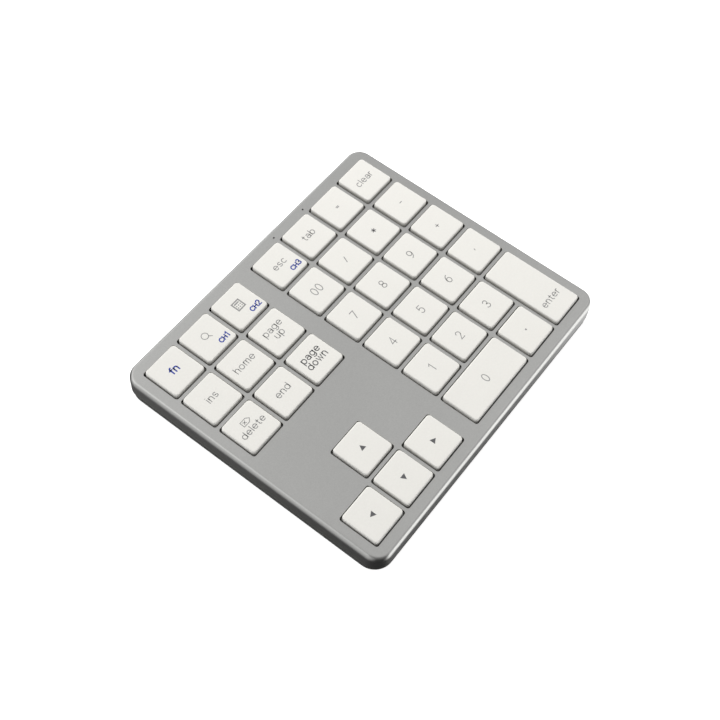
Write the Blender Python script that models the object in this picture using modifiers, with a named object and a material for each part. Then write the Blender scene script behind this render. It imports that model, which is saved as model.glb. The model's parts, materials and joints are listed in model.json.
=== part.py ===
"""A slim wireless numeric keypad with 35 scissor keys, as separate solids.

Metres. +X is right, +Y is away from the user, +Z is up. The origin is on the desk under the middle of
the case. The keys are up, which is their rest position.
"""

import math

import bmesh
import bpy
from mathutils import Matrix, Vector

MM = 0.001

# Keys. A name in two cells is one key that covers both.
LAYOUT = (
    ("fn", "search", "calculator", "esc", "tab", "equals", "clear"),
    ("insert", "home", "page_up", "double_zero", "slash", "asterisk", "minus"),
    ("delete", "end", "page_down", "7", "8", "9", "plus"),
    (None, None, None, "4", "5", "6", "comma"),
    (None, "up", None, "1", "2", "3", "enter"),
    ("left", "down", "right", "0", "0", "period", "enter"),
)
KEY_PITCH = 19.0 * MM
BLOCK_GAP = 6.5 * MM  # extra space between the navigation block and the number block
FIRST_NUMBER_COLUMN = 3
KEY_SIZE = 16.7 * MM
KEY_CORNER = 1.5 * MM
KEY_HEIGHT = 3.1 * MM
KEY_EDGE = 0.45 * MM
KEY_WALL = 1.1 * MM
KEY_RISE = 1.5 * MM  # key top above the deck
KEY_GAP = 0.4 * MM  # from a key to the edge of its opening
OPENING_CORNER = 1.0 * MM

# Case
CASE_WIDTH = 148.4 * MM
CASE_DEPTH = 124.0 * MM
CASE_HEIGHT = 11.8 * MM
CASE_CORNER = 6.6 * MM
CASE_CHAMFER = 1.1 * MM
CASE_WALL = 1.3 * MM
BACK_MARGIN = 14.7 * MM  # from the back edge to the centres of the first row of keys
FOOT_STANDOFF = 1.0 * MM
COVER_SIDE = 2.5 * MM  # height of the dark band that the cover shows
COVER_INSET = 0.1 * MM
COVER_FLOOR = 1.6 * MM
COVER_EDGE = 0.8 * MM
COVER_CORNER = 8.0 * MM
LIP_WALL = 0.9 * MM
LIP_RISE = 1.2 * MM
CLEAR = 0.3 * MM  # gap between solids that touch on the real object

DECK_Z = FOOT_STANDOFF + CASE_HEIGHT
COVER_TOP_Z = FOOT_STANDOFF + COVER_SIDE
COVER_FLOOR_Z = FOOT_STANDOFF + COVER_FLOOR
LIP_TOP_Z = COVER_TOP_Z + LIP_RISE
BACK_Y = CASE_DEPTH / 2

# Key stack under the deck, from the plate up
PLATE_Z = 6.3 * MM
PLATE_THICK = 0.5 * MM
MEMBRANE_THICK = 0.3 * MM
DOME_SHEET_THICK = 0.3 * MM
STACK_SIDE_MARGIN = 3.2 * MM
STACK_BACK_MARGIN = 5.1 * MM
STACK_CORNER = 4.0 * MM
DOME_HEIGHT = 3.3 * MM
DOME_FOOT_RADIUS = 3.2 * MM
DOME_TOP_RADIUS = 1.6 * MM
DOME_WALL = 0.6 * MM
DOME_SIDES = 6
MEMBRANE_Z = PLATE_Z + PLATE_THICK + CLEAR
TAIL_SIDES = (-2.0 * MM, 8.0 * MM)
TAIL_BACK_MARGIN = 4.0 * MM  # from the case's back face to where the tail turns down
TAIL_Z = 5.2 * MM
TAIL_END_Y = 52.3 * MM
DOME_SHEET_Z = MEMBRANE_Z + MEMBRANE_THICK + CLEAR
DOME_SHEET_TOP_Z = DOME_SHEET_Z + DOME_SHEET_THICK

# Stabiliser bars under the two long keys
BAR_RADIUS = 0.4 * MM
BAR_HALF_SPAN = 14.0 * MM
BAR_END = 2.4 * MM
BAR_ARM = 8.0 * MM
BAR_PIVOT_Z = 8.8 * MM
BAR_TOP_Z = 12.2 * MM
BAR_PIVOT_OFFSET = -4.5 * MM  # from the key's long centre line to the bar's pivot
HOOK_THICK = 0.6 * MM
HOOK_WIDTH = 3.2 * MM
HOOK_HEIGHT = 3.9 * MM
HOOK_INSET = 1.2 * MM  # from the end of the arm to the hook

# Screws and the bosses that they go into, at the four corners
SCREW_INSET = 4.9 * MM
BOSS_RADIUS = 1.6 * MM
BOSS_HOLE_RADIUS = 1.1 * MM
BOSS_HOLE_TOP_Z = 10.2 * MM
SCREW_HEAD_RADIUS = 1.6 * MM
SCREW_HEAD_THICK = 0.9 * MM
SCREW_HEAD_RECESS = 1.3 * MM
SCREW_HEAD_SUNK = 0.15 * MM
SCREW_SHANK_RADIUS = 0.8 * MM
SCREW_LENGTH = 7.0 * MM
SCREW_TIP_RADIUS = 0.5 * MM
SCREW_TIP_LENGTH = 0.6 * MM
RECESS_RADIUS = 1.9 * MM
SCREW_SIDES = 12

# Rubber feet
FOOT_RADIUS = 4.5 * MM
FOOT_THICK = 1.4 * MM
FOOT_RECESS = FOOT_THICK - FOOT_STANDOFF + CLEAR
FOOT_INSET = 13.0 * MM
FOOT_SIDES = 20

# Posts of the cover under the plate
POST_RADIUS = 1.5 * MM
POST_PLACES = ((-52, 12), (-52, -42), (-18, -45), (-18, 8), (67, 8), (67, -42), (2, 22), (67, 44))

# Circuit board and what is on it
BOARD_Z = 3.4 * MM
BOARD_THICK = 1.0 * MM
BOARD_X = (-46.0 * MM, 37.0 * MM)
BOARD_Y = (36.0 * MM, 59.2 * MM)
BOARD_TOP_Z = BOARD_Z + BOARD_THICK
ON_BOARD_Z = BOARD_TOP_Z + CLEAR
# (x, y, width, depth, height) of the parts soldered flat on the board, in millimetres
BOARD_PARTS = (
    (-30.0, 44.0, 6.0, 6.0, 0.9),
    (-19.0, 42.0, 3.2, 2.5, 0.8),
    (-20.5, 47.5, 4.4, 4.4, 0.9),
    (3.0, 49.5, 12.0, 4.6, 1.5),
    (16.0, 42.5, 5.0, 5.0, 0.9),
    (12.75, 58.3, 1.6, 0.8, 0.5),
    (31.75, 58.3, 1.6, 0.8, 0.5),
)

# Charging socket, in the gap between the two blocks of keys
SOCKET_X = -9.5 * MM
SOCKET_WIDTH = 8.94 * MM
SOCKET_HEIGHT = 3.16 * MM
SOCKET_DEPTH = 7.3 * MM
SOCKET_WALL = 0.3 * MM
SOCKET_ROUND = 0.92  # corner radius as a share of half the height
SOCKET_SUNK = 0.4 * MM  # mouth behind the case's outer face
SOCKET_Z = ON_BOARD_Z + SOCKET_HEIGHT / 2
TONGUE_WIDTH = 6.7 * MM
TONGUE_THICK = 0.7 * MM
TONGUE_DEPTH = 6.0 * MM

# Power switch
SWITCH_X = -38.0 * MM
SWITCH_TRAVEL = 2.0 * MM
SWITCH_BODY = (6.6 * MM, 3.0 * MM, 1.3 * MM)
SWITCH_BODY_BACK = 1.9 * MM  # from the case's back face
SWITCH_SLOT_DEPTH = 2.0 * MM
SWITCH_SLOT_FLOOR = 0.3 * MM
KNOB_WIDTH = 3.0 * MM
KNOB_HEIGHT = 1.4 * MM
KNOB_SUNK = 0.15 * MM
KNOB_THICK = 1.4 * MM
KNOB_CORNER = 0.3 * MM
STALK = (1.0 * MM, 2.0 * MM, 0.6 * MM)
STALK_SUNK = 0.2 * MM
KNOB_Z = 5.35 * MM

# Indicator lights
LIGHT_ROW_OFFSET = 11.0 * MM  # behind the centres of the first row of keys
LIGHT_HOLE_RADIUS = 0.45 * MM
LIGHT_PIPE_RADIUS = 0.95 * MM
LIGHT_PIPE_Z = 5.2 * MM

# Battery, its connector and wires
BATTERY_CENTRE = (33.0 * MM, -22.0 * MM)
BATTERY_SIZE = (50.0 * MM, 32.0 * MM, 2.8 * MM)
BATTERY_Z = COVER_FLOOR_Z + CLEAR
CONNECTOR_CENTRE = (30.0 * MM, 39.0 * MM)
CONNECTOR_SIZE = (4.6 * MM, 4.2 * MM, 1.3 * MM)
WIRE_RADIUS = 0.45 * MM
WIRE_SPACING = 1.6 * MM
WIRE_LEVEL_END = 2.2 * MM  # straight and level at each end
WIRE_DROP = 6.0 * MM  # where a wire has come down to the floor
WIRE_RISE = 8.0 * MM  # where it leaves the floor for the connector
WIRE_BOW = 1.5 * MM  # how far the pair spreads in between
WIRE_BOW_AT = 18.0 * MM


def principled(name, colour, roughness, metallic=0.0):
    """A plain Principled material."""
    material = bpy.data.materials.new(name)
    material.use_nodes = True
    shader = material.node_tree.nodes["Principled BSDF"]
    shader.inputs["Base Color"].default_value = (*colour, 1.0)
    shader.inputs["Roughness"].default_value = roughness
    shader.inputs["Metallic"].default_value = metallic
    return material


def column_x(column):
    """Centre of a column of keys; the two blocks together are centred on the case."""
    columns = len(LAYOUT[0])
    first = -((columns - 1) * KEY_PITCH + BLOCK_GAP) / 2
    return first + column * KEY_PITCH + (BLOCK_GAP if column >= FIRST_NUMBER_COLUMN else 0.0)


def row_y(row):
    return BACK_Y - BACK_MARGIN - row * KEY_PITCH


def key_plan():
    """{name: (x, y, width, depth)} of each key, from the cells that it covers."""
    cells = {}
    for row, names in enumerate(LAYOUT):
        for column, name in enumerate(names):
            if name:
                cells.setdefault(name, []).append((column_x(column), row_y(row)))
    plan = {}
    for name, centres in cells.items():
        low = [min(values) for values in zip(*centres)]
        high = [max(values) for values in zip(*centres)]
        plan[name] = (
            (low[0] + high[0]) / 2,
            (low[1] + high[1]) / 2,
            high[0] - low[0] + KEY_SIZE,
            high[1] - low[1] + KEY_SIZE,
        )
    return plan


def link(name, mesh, collection, location=(0, 0, 0), material=None, parent=None):
    """Puts a mesh or curve in the scene as an object."""
    obj = bpy.data.objects.new(name, mesh)
    obj.location = location
    obj.parent = parent
    if material:
        mesh.materials.append(material)
    collection.objects.link(obj)
    return obj


def to_mesh(name, work):
    mesh = bpy.data.meshes.new(name)
    bmesh.ops.recalc_face_normals(work, faces=work.faces)
    work.to_mesh(mesh)
    work.free()
    return mesh


def at_height(item, height):
    return all(abs(vert.co.z - height) < 1e-7 for vert in item.verts)


def rounded_block(size, corner=0.0, steps=3, top=0.0, bottom=0.0, edge_steps=1, open_end=None):
    """A bmesh block on z = 0, with round upright edges, bevelled rims, and one end left open if asked."""
    width, depth, height = size
    work = bmesh.new()
    bmesh.ops.create_cube(work, size=1.0)
    bmesh.ops.scale(work, vec=size, verts=work.verts)
    bmesh.ops.translate(work, vec=(0, 0, height / 2), verts=work.verts)
    if corner:
        upright = [e for e in work.edges if abs(e.verts[0].co.z - e.verts[1].co.z) > height / 2]
        bmesh.ops.bevel(work, geom=upright, offset=corner, segments=steps, profile=0.5, affect="EDGES")
    for offset, level in ((top, height), (bottom, 0.0)):
        if offset:
            rim = [e for e in work.edges if at_height(e, level)]
            bmesh.ops.bevel(work, geom=rim, offset=offset, segments=edge_steps, profile=0.5, affect="EDGES")
    if open_end is not None:
        level = height if open_end == "top" else 0.0
        ends = [f for f in work.faces if at_height(f, level)]
        bmesh.ops.delete(work, geom=ends, context="FACES")
    return work


def add_box(work, low, high):
    """Adds a box between two corners to a bmesh."""
    low, high = Vector(low), Vector(high)
    made = bmesh.ops.create_cube(work, size=1.0)["verts"]
    bmesh.ops.scale(work, vec=high - low, verts=made)
    bmesh.ops.translate(work, vec=(low + high) / 2, verts=made)


def add_cone(work, x, y, z, height, foot, top, sides):
    """Adds an upright cone frustum or cylinder, standing on z, to a bmesh."""
    place = Matrix.Translation((x, y, z + height / 2))
    bmesh.ops.create_cone(
        work, cap_ends=True, segments=sides, radius1=foot, radius2=top, depth=height, matrix=place
    )


def add_block(work, block, place):
    """Adds one bmesh to another, moved to a place."""
    mesh = bpy.data.meshes.new("block")
    block.to_mesh(mesh)
    block.free()
    mesh.transform(Matrix.Translation(place))
    work.from_mesh(mesh)
    bpy.data.meshes.remove(mesh)


def helper(name, work):
    """A cutter or a joined-on shape, which isn't part of the keypad."""
    obj = link(name, to_mesh(name, work), helpers)
    obj.hide_render = True
    obj.display_type = "WIRE"
    return obj


def combine(obj, other, operation):
    modifier = obj.modifiers.new(f"{operation.lower()} {other.name}", "BOOLEAN")
    modifier.operation = operation
    modifier.object = other


def shell(obj, thickness):
    modifier = obj.modifiers.new("wall", "SOLIDIFY")
    modifier.thickness = thickness
    modifier.offset = -1.0
    modifier.use_even_offset = True


def smooth(obj):
    obj.data.shade_smooth()
    obj.data.set_sharp_from_angle(angle=math.radians(40))


def corner_places(inset):
    """The four points at one inset from both edges of the case, with their names."""
    for side, sign_x in (("left", -1), ("right", 1)):
        for end, sign_y in (("front", -1), ("back", 1)):
            x = sign_x * (CASE_WIDTH / 2 - inset)
            y = sign_y * (CASE_DEPTH / 2 - inset)
            yield f"{end}_{side}", x, y


def light_places():
    """Centres of the two indicator lights, between the first number columns."""
    y = row_y(0) + LIGHT_ROW_OFFSET
    for step in (0, 1):
        column = FIRST_NUMBER_COLUMN + step
        yield (column_x(column) + column_x(column + 1)) / 2, y


def make_keycaps(plan):
    """One cap for each key, hollow below. The hollow has no bevelled rim, so the walls never cross."""
    depth_inside = KEY_HEIGHT - KEY_WALL
    for name, (x, y, width, depth) in plan.items():
        block = rounded_block((width, depth, KEY_HEIGHT), KEY_CORNER, steps=2, top=KEY_EDGE)
        place = Vector((x, y, DECK_Z + KEY_RISE - KEY_HEIGHT))
        cap = link(f"key_{name}", to_mesh(f"key_{name}", block), keypad, place, white, origin)
        inside = (width - 2 * KEY_WALL, depth - 2 * KEY_WALL, 2 * depth_inside)
        hollow = rounded_block(inside, KEY_CORNER - KEY_WALL, steps=2)
        bmesh.ops.translate(hollow, vec=place - Vector((0, 0, depth_inside)), verts=hollow.verts)
        combine(cap, helper(f"hollow_{name}", hollow), "DIFFERENCE")
        smooth(cap)


def make_top_case(plan):
    bottom = COVER_TOP_Z + CLEAR
    block = rounded_block(
        (CASE_WIDTH, CASE_DEPTH, DECK_Z - bottom),
        CASE_CORNER,
        steps=5,
        top=CASE_CHAMFER,
        open_end="bottom",
    )
    case = link("top_case", to_mesh("top_case", block), keypad, (0, 0, bottom), aluminium, origin)
    shell(case, CASE_WALL)

    bosses = bmesh.new()
    boss_foot = LIP_TOP_Z + CLEAR
    boss_top = DECK_Z - CASE_WALL / 2
    for _, x, y in corner_places(SCREW_INSET):
        add_cone(bosses, x, y, boss_foot, boss_top - boss_foot, BOSS_RADIUS, BOSS_RADIUS, SCREW_SIDES)
    combine(case, helper("case_bosses", bosses), "UNION")

    holes = bmesh.new()
    for _, x, y in corner_places(SCREW_INSET):
        foot = boss_foot - MM
        add_cone(
            holes, x, y, foot, BOSS_HOLE_TOP_Z - foot, BOSS_HOLE_RADIUS, BOSS_HOLE_RADIUS, SCREW_SIDES
        )
    for x, y in light_places():
        foot = DECK_Z - CASE_WALL - MM
        add_cone(holes, x, y, foot, CASE_WALL + 2 * MM, LIGHT_HOLE_RADIUS, LIGHT_HOLE_RADIUS, 8)
    for x, y, width, depth in plan.values():
        opening = rounded_block(
            (width + 2 * KEY_GAP, depth + 2 * KEY_GAP, CASE_WALL + 2 * MM),
            OPENING_CORNER,
            steps=2,
        )
        add_block(holes, opening, (x, y, DECK_Z - CASE_WALL - MM))
    add_block(holes, socket_outline(2 * CLEAR, 3 * CASE_WALL), (SOCKET_X, BACK_Y + CASE_WALL, SOCKET_Z))
    half_slot = (SWITCH_TRAVEL + KNOB_WIDTH) / 2 + CLEAR
    half_high = KNOB_HEIGHT / 2 + CLEAR
    add_box(
        holes,
        (SWITCH_X - half_slot, BACK_Y - CASE_WALL - MM, KNOB_Z - half_high),
        (SWITCH_X + half_slot, BACK_Y + MM, KNOB_Z + half_high),
    )
    combine(case, helper("case_holes", holes), "DIFFERENCE")
    smooth(case)


def socket_outline(grow, depth):
    """A bmesh block with the charging socket's outline, running from y = 0 towards the user."""
    width, height = SOCKET_WIDTH + grow, SOCKET_HEIGHT + grow
    block = rounded_block((width, height, depth), SOCKET_ROUND * height / 2, steps=3)
    bmesh.ops.rotate(block, cent=(0, 0, 0), matrix=Matrix.Rotation(math.pi / 2, 3, "X"), verts=block.verts)
    return block


def make_bottom_cover():
    width, depth = CASE_WIDTH - 2 * COVER_INSET, CASE_DEPTH - 2 * COVER_INSET
    block = rounded_block(
        (width, depth, COVER_SIDE),
        COVER_CORNER,
        steps=5,
        bottom=COVER_EDGE,
        edge_steps=2,
    )
    place = (0, 0, FOOT_STANDOFF)
    cover = link("bottom_cover", to_mesh("bottom_cover", block), keypad, place, dark_plastic, origin)

    lip_inset = CASE_WALL + CLEAR
    lip = rounded_block(
        (CASE_WIDTH - 2 * lip_inset, CASE_DEPTH - 2 * lip_inset, LIP_TOP_Z - COVER_FLOOR_Z),
        CASE_CORNER - lip_inset,
        steps=5,
    )
    bmesh.ops.translate(lip, vec=(0, 0, COVER_FLOOR_Z), verts=lip.verts)
    combine(cover, helper("cover_lip", lip), "UNION")

    inner_inset = lip_inset + LIP_WALL
    cavity = rounded_block(
        (CASE_WIDTH - 2 * inner_inset, CASE_DEPTH - 2 * inner_inset, 2 * CASE_HEIGHT),
        CASE_CORNER - inner_inset,
        steps=5,
    )
    bmesh.ops.translate(cavity, vec=(0, 0, COVER_FLOOR_Z), verts=cavity.verts)
    combine(cover, helper("cover_cavity", cavity), "DIFFERENCE")

    inside = bmesh.new()
    sunk = COVER_FLOOR / 2
    for _, x, y in corner_places(SCREW_INSET):
        low = COVER_FLOOR_Z - sunk
        add_cone(inside, x, y, low, LIP_TOP_Z - low, RECESS_RADIUS, RECESS_RADIUS, SCREW_SIDES)
    for x, y in POST_PLACES:
        low = COVER_FLOOR_Z - sunk
        add_cone(inside, x * MM, y * MM, low, PLATE_Z - CLEAR - low, POST_RADIUS, POST_RADIUS, 10)
    combine(cover, helper("cover_posts", inside), "UNION")

    holes, recesses = bmesh.new(), bmesh.new()
    below = FOOT_STANDOFF - MM
    for _, x, y in corner_places(SCREW_INSET):
        add_cone(holes, x, y, below, CASE_HEIGHT, BOSS_HOLE_RADIUS, BOSS_HOLE_RADIUS, SCREW_SIDES)
        add_cone(recesses, x, y, below, SCREW_HEAD_RECESS + MM, RECESS_RADIUS, RECESS_RADIUS, SCREW_SIDES)
    for _, x, y in corner_places(FOOT_INSET):
        radius = FOOT_RADIUS + CLEAR
        add_cone(recesses, x, y, below, FOOT_RECESS + MM, radius, radius, FOOT_SIDES)
    for x, reach in ((SOCKET_X, SOCKET_WIDTH / 2 + MM), (SWITCH_X, SWITCH_BODY[0] / 2 + MM)):
        add_box(recesses, (x - reach, BACK_Y - 3 * MM, COVER_TOP_Z), (x + reach, BACK_Y + MM, DECK_Z))
    combine(cover, helper("cover_holes", holes), "DIFFERENCE")
    combine(cover, helper("cover_recesses", recesses), "DIFFERENCE")
    smooth(cover)


def stack_block(thickness):
    """A sheet with the outline that the plate, membrane and dome sheet share, centred on the case."""
    depth = CASE_DEPTH - STACK_SIDE_MARGIN - STACK_BACK_MARGIN
    block = rounded_block(
        (CASE_WIDTH - 2 * STACK_SIDE_MARGIN, depth, thickness), STACK_CORNER, steps=2
    )
    shift = (STACK_SIDE_MARGIN - STACK_BACK_MARGIN) / 2
    bmesh.ops.translate(block, vec=(0, shift, 0), verts=block.verts)
    return block


def bar_frames(plan):
    """(name, matrix) of each stabiliser: its X is along the bar, its Y from the pivot to the bar."""
    x, y, _, _ = plan["0"]
    yield "zero", Matrix.Translation((x, y, 0))
    x, y, _, _ = plan["enter"]
    yield "enter", Matrix.Translation((x, y, 0)) @ Matrix.Rotation(math.pi / 2, 4, "Z")


def hook_centres():
    """Centres of a bar's two hooks, across the bar's own X."""
    for sign in (-1, 1):
        yield sign * (BAR_HALF_SPAN - HOOK_INSET)


def make_stack_cuts(plan):
    """What the plate and the sheets on it give way to: the screw bosses and the charging socket."""
    cuts = bmesh.new()
    for _, x, y in corner_places(SCREW_INSET):
        add_cone(
            cuts, x, y, PLATE_Z - MM, 4 * MM, BOSS_RADIUS + CLEAR, BOSS_RADIUS + CLEAR, SCREW_SIDES
        )
    reach = SOCKET_WIDTH / 2 + 2 * CLEAR
    front = BACK_Y - SOCKET_SUNK - SOCKET_DEPTH - 2 * CLEAR
    add_box(cuts, (SOCKET_X - reach, front, PLATE_Z - MM), (SOCKET_X + reach, BACK_Y, DECK_Z))
    stack_cuts = helper("stack_cuts", cuts)

    slots = bmesh.new()
    for _, frame in bar_frames(plan):
        for centre in hook_centres():
            low = Vector((centre - HOOK_THICK / 2 - CLEAR, BAR_PIVOT_OFFSET - HOOK_WIDTH / 2 - CLEAR, 0))
            high = Vector((centre + HOOK_THICK / 2 + CLEAR, BAR_PIVOT_OFFSET + HOOK_WIDTH / 2 + CLEAR, 0))
            low.z, high.z = PLATE_Z + PLATE_THICK + CLEAR / 2, DECK_Z
            corners = [frame @ low, frame @ high]
            add_box(slots, *(Vector(map(pick, *corners)) for pick in (min, max)))
    return stack_cuts, helper("hook_slots", slots)


def make_support_plate(plan, stack_cuts):
    block = stack_block(PLATE_THICK)
    plate = link(
        "support_plate", to_mesh("support_plate", block), keypad, (0, 0, PLATE_Z), steel, origin
    )
    combine(plate, stack_cuts, "DIFFERENCE")
    hooks, eyes = bmesh.new(), bmesh.new()
    for _, frame in bar_frames(plan):
        for centre in hook_centres():
            low = Vector((centre - HOOK_THICK / 2, BAR_PIVOT_OFFSET - HOOK_WIDTH / 2, 0))
            high = Vector((centre + HOOK_THICK / 2, BAR_PIVOT_OFFSET + HOOK_WIDTH / 2, 0))
            low.z, high.z = PLATE_Z + PLATE_THICK / 2, PLATE_Z + PLATE_THICK / 2 + HOOK_HEIGHT
            corners = [frame @ low, frame @ high]
            add_box(hooks, *(Vector(map(pick, *corners)) for pick in (min, max)))
            eye = Matrix.Translation((centre, BAR_PIVOT_OFFSET, BAR_PIVOT_Z))
            bmesh.ops.create_cone(
                eyes,
                cap_ends=True,
                segments=10,
                radius1=BAR_RADIUS + CLEAR,
                radius2=BAR_RADIUS + CLEAR,
                depth=4 * HOOK_THICK,
                matrix=frame @ eye @ Matrix.Rotation(math.pi / 2, 4, "Y"),
            )
    combine(plate, helper("plate_hooks", hooks), "UNION")
    combine(plate, helper("plate_eyes", eyes), "DIFFERENCE")


def make_membrane(stack_cuts, hook_slots):
    block = stack_block(MEMBRANE_THICK)
    place = (0, 0, MEMBRANE_Z)
    membrane = link("membrane", to_mesh("membrane", block), keypad, place, film, origin)
    combine(membrane, stack_cuts, "DIFFERENCE")
    combine(membrane, hook_slots, "DIFFERENCE")

    # The tail leaves the back edge, turns down behind the plate, and runs forward to its connector.
    left, right = TAIL_SIDES
    turn_y = BACK_Y - TAIL_BACK_MARGIN
    sheet_back = BACK_Y - STACK_BACK_MARGIN
    top = MEMBRANE_Z + MEMBRANE_THICK
    sunk = MEMBRANE_THICK / 3
    tail = bmesh.new()
    add_box(tail, (left, sheet_back - MM, MEMBRANE_Z), (right, turn_y, top))
    tail_down = bmesh.new()
    add_box(tail_down, (left, turn_y - MEMBRANE_THICK, TAIL_Z), (right, turn_y, MEMBRANE_Z + sunk))
    tail_in = bmesh.new()
    add_box(tail_in, (left, TAIL_END_Y, TAIL_Z), (right, turn_y - sunk, TAIL_Z + MEMBRANE_THICK))
    for name, work in (("tail_out", tail), ("tail_down", tail_down), ("tail_in", tail_in)):
        combine(membrane, helper(name, work), "UNION")


def make_dome_sheet(plan, stack_cuts, hook_slots):
    block = stack_block(DOME_SHEET_THICK)
    place = (0, 0, DOME_SHEET_Z)
    sheet = link("dome_sheet", to_mesh("dome_sheet", block), keypad, place, silicone, origin)
    combine(sheet, stack_cuts, "DIFFERENCE")
    combine(sheet, hook_slots, "DIFFERENCE")
    domes, hollows = bmesh.new(), bmesh.new()
    sunk = DOME_SHEET_THICK / 2
    for x, y, _, _ in plan.values():
        low = DOME_SHEET_TOP_Z - sunk
        add_cone(domes, x, y, low, DOME_HEIGHT + sunk, DOME_FOOT_RADIUS, DOME_TOP_RADIUS, DOME_SIDES)
        below = DOME_SHEET_Z - sunk
        inner_height = DOME_SHEET_TOP_Z + DOME_HEIGHT - DOME_WALL - below
        foot, top = DOME_FOOT_RADIUS - DOME_WALL, DOME_TOP_RADIUS - DOME_WALL
        add_cone(hollows, x, y, below, inner_height, foot, top, DOME_SIDES)
    combine(sheet, helper("domes", domes), "UNION")
    combine(sheet, helper("dome_hollows", hollows), "DIFFERENCE")


def make_stabilisers(plan):
    """Bent wire bars that keep the two long keys level. Each has its origin on its pivot."""
    reach = math.sqrt(BAR_ARM**2 - (BAR_TOP_Z - BAR_PIVOT_Z) ** 2)
    half, end = BAR_HALF_SPAN, BAR_HALF_SPAN - BAR_END
    rise = BAR_TOP_Z - BAR_PIVOT_Z
    path = (
        (-end, 0, 0),
        (-half, 0, 0),
        (-half, reach, rise),
        (half, reach, rise),
        (half, 0, 0),
        (end, 0, 0),
    )
    for name, frame in bar_frames(plan):
        curve = bpy.data.curves.new(f"stabiliser_{name}", "CURVE")
        curve.dimensions = "3D"
        curve.bevel_depth = BAR_RADIUS
        curve.bevel_resolution = 1
        curve.use_fill_caps = True
        spline = curve.splines.new("POLY")
        spline.points.add(len(path) - 1)
        for point, place in zip(spline.points, path):
            point.co = (*place, 1.0)
        bar = link(f"stabiliser_{name}", curve, keypad, material=steel, parent=origin)
        bar.matrix_world = frame @ Matrix.Translation((0, BAR_PIVOT_OFFSET, BAR_PIVOT_Z))


def make_circuit_board():
    low = (BOARD_X[0], BOARD_Y[0], BOARD_Z)
    high = (BOARD_X[1], BOARD_Y[1], BOARD_TOP_Z)
    work = bmesh.new()
    add_box(work, low, high)
    board = link("circuit_board", to_mesh("circuit_board", work), keypad, material=green, parent=origin)
    parts = bmesh.new()
    for x, y, width, depth, height in BOARD_PARTS:
        corner = Vector((x - width / 2, y - depth / 2, 0)) * MM
        corner.z = BOARD_Z + BOARD_THICK / 2
        far = corner + Vector((width, depth, height)) * MM
        far.z = BOARD_TOP_Z + height * MM
        add_box(parts, corner, far)
    combine(board, helper("board_parts", parts), "UNION")


def make_charging_socket():
    mouth = BACK_Y - SOCKET_SUNK
    place = (SOCKET_X, mouth, SOCKET_Z)
    block = socket_outline(0, SOCKET_DEPTH)
    socket = link("usb_socket", to_mesh("usb_socket", block), keypad, place, steel, origin)
    cavity = socket_outline(-2 * SOCKET_WALL, SOCKET_DEPTH)
    bmesh.ops.translate(cavity, vec=(SOCKET_X, mouth + SOCKET_WALL, SOCKET_Z), verts=cavity.verts)
    combine(socket, helper("socket_cavity", cavity), "DIFFERENCE")
    tongue = bmesh.new()
    back = mouth - SOCKET_DEPTH + SOCKET_WALL / 2
    add_box(
        tongue,
        (SOCKET_X - TONGUE_WIDTH / 2, back, SOCKET_Z - TONGUE_THICK / 2),
        (SOCKET_X + TONGUE_WIDTH / 2, back + TONGUE_DEPTH, SOCKET_Z + TONGUE_THICK / 2),
    )
    combine(socket, helper("socket_tongue", tongue), "UNION")


def make_power_switch():
    width, depth, height = SWITCH_BODY
    back = BACK_Y - SWITCH_BODY_BACK
    work = bmesh.new()
    add_box(
        work,
        (SWITCH_X - width / 2, back - depth, ON_BOARD_Z),
        (SWITCH_X + width / 2, back, ON_BOARD_Z + height),
    )
    body = link("switch_body", to_mesh("switch_body", work), keypad, material=steel, parent=origin)
    slot = bmesh.new()
    reach = (STALK[0] + SWITCH_TRAVEL) / 2 + CLEAR
    floor = ON_BOARD_Z + SWITCH_SLOT_FLOOR
    add_box(
        slot,
        (SWITCH_X - reach, back - SWITCH_SLOT_DEPTH, floor),
        (SWITCH_X + reach, back + MM, ON_BOARD_Z + height + MM),
    )
    combine(body, helper("switch_slot", slot), "DIFFERENCE")

    rest_x = SWITCH_X - SWITCH_TRAVEL / 2
    outer = BACK_Y - KNOB_SUNK
    block = rounded_block((KNOB_WIDTH, KNOB_THICK, KNOB_HEIGHT), KNOB_CORNER, steps=1)
    place = (rest_x, outer - KNOB_THICK / 2, KNOB_Z - KNOB_HEIGHT / 2)
    knob = link("power_switch", to_mesh("power_switch", block), keypad, place, dark_plastic, origin)
    stalk = bmesh.new()
    inner = outer - KNOB_THICK
    add_box(
        stalk,
        (rest_x - STALK[0] / 2, inner + STALK_SUNK - STALK[1], KNOB_Z - STALK[2] / 2),
        (rest_x + STALK[0] / 2, inner + STALK_SUNK, KNOB_Z + STALK[2] / 2),
    )
    combine(knob, helper("knob_stalk", stalk), "UNION")


def make_light_pipes():
    top = DECK_Z - CASE_WALL - CLEAR
    for side, (x, y) in zip(("left", "right"), light_places()):
        work = bmesh.new()
        add_cone(work, 0, 0, 0, top - LIGHT_PIPE_Z, LIGHT_PIPE_RADIUS, LIGHT_PIPE_RADIUS, 12)
        name = f"light_pipe_{side}"
        link(name, to_mesh(name, work), keypad, (x, y, LIGHT_PIPE_Z), clear, origin)


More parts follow.
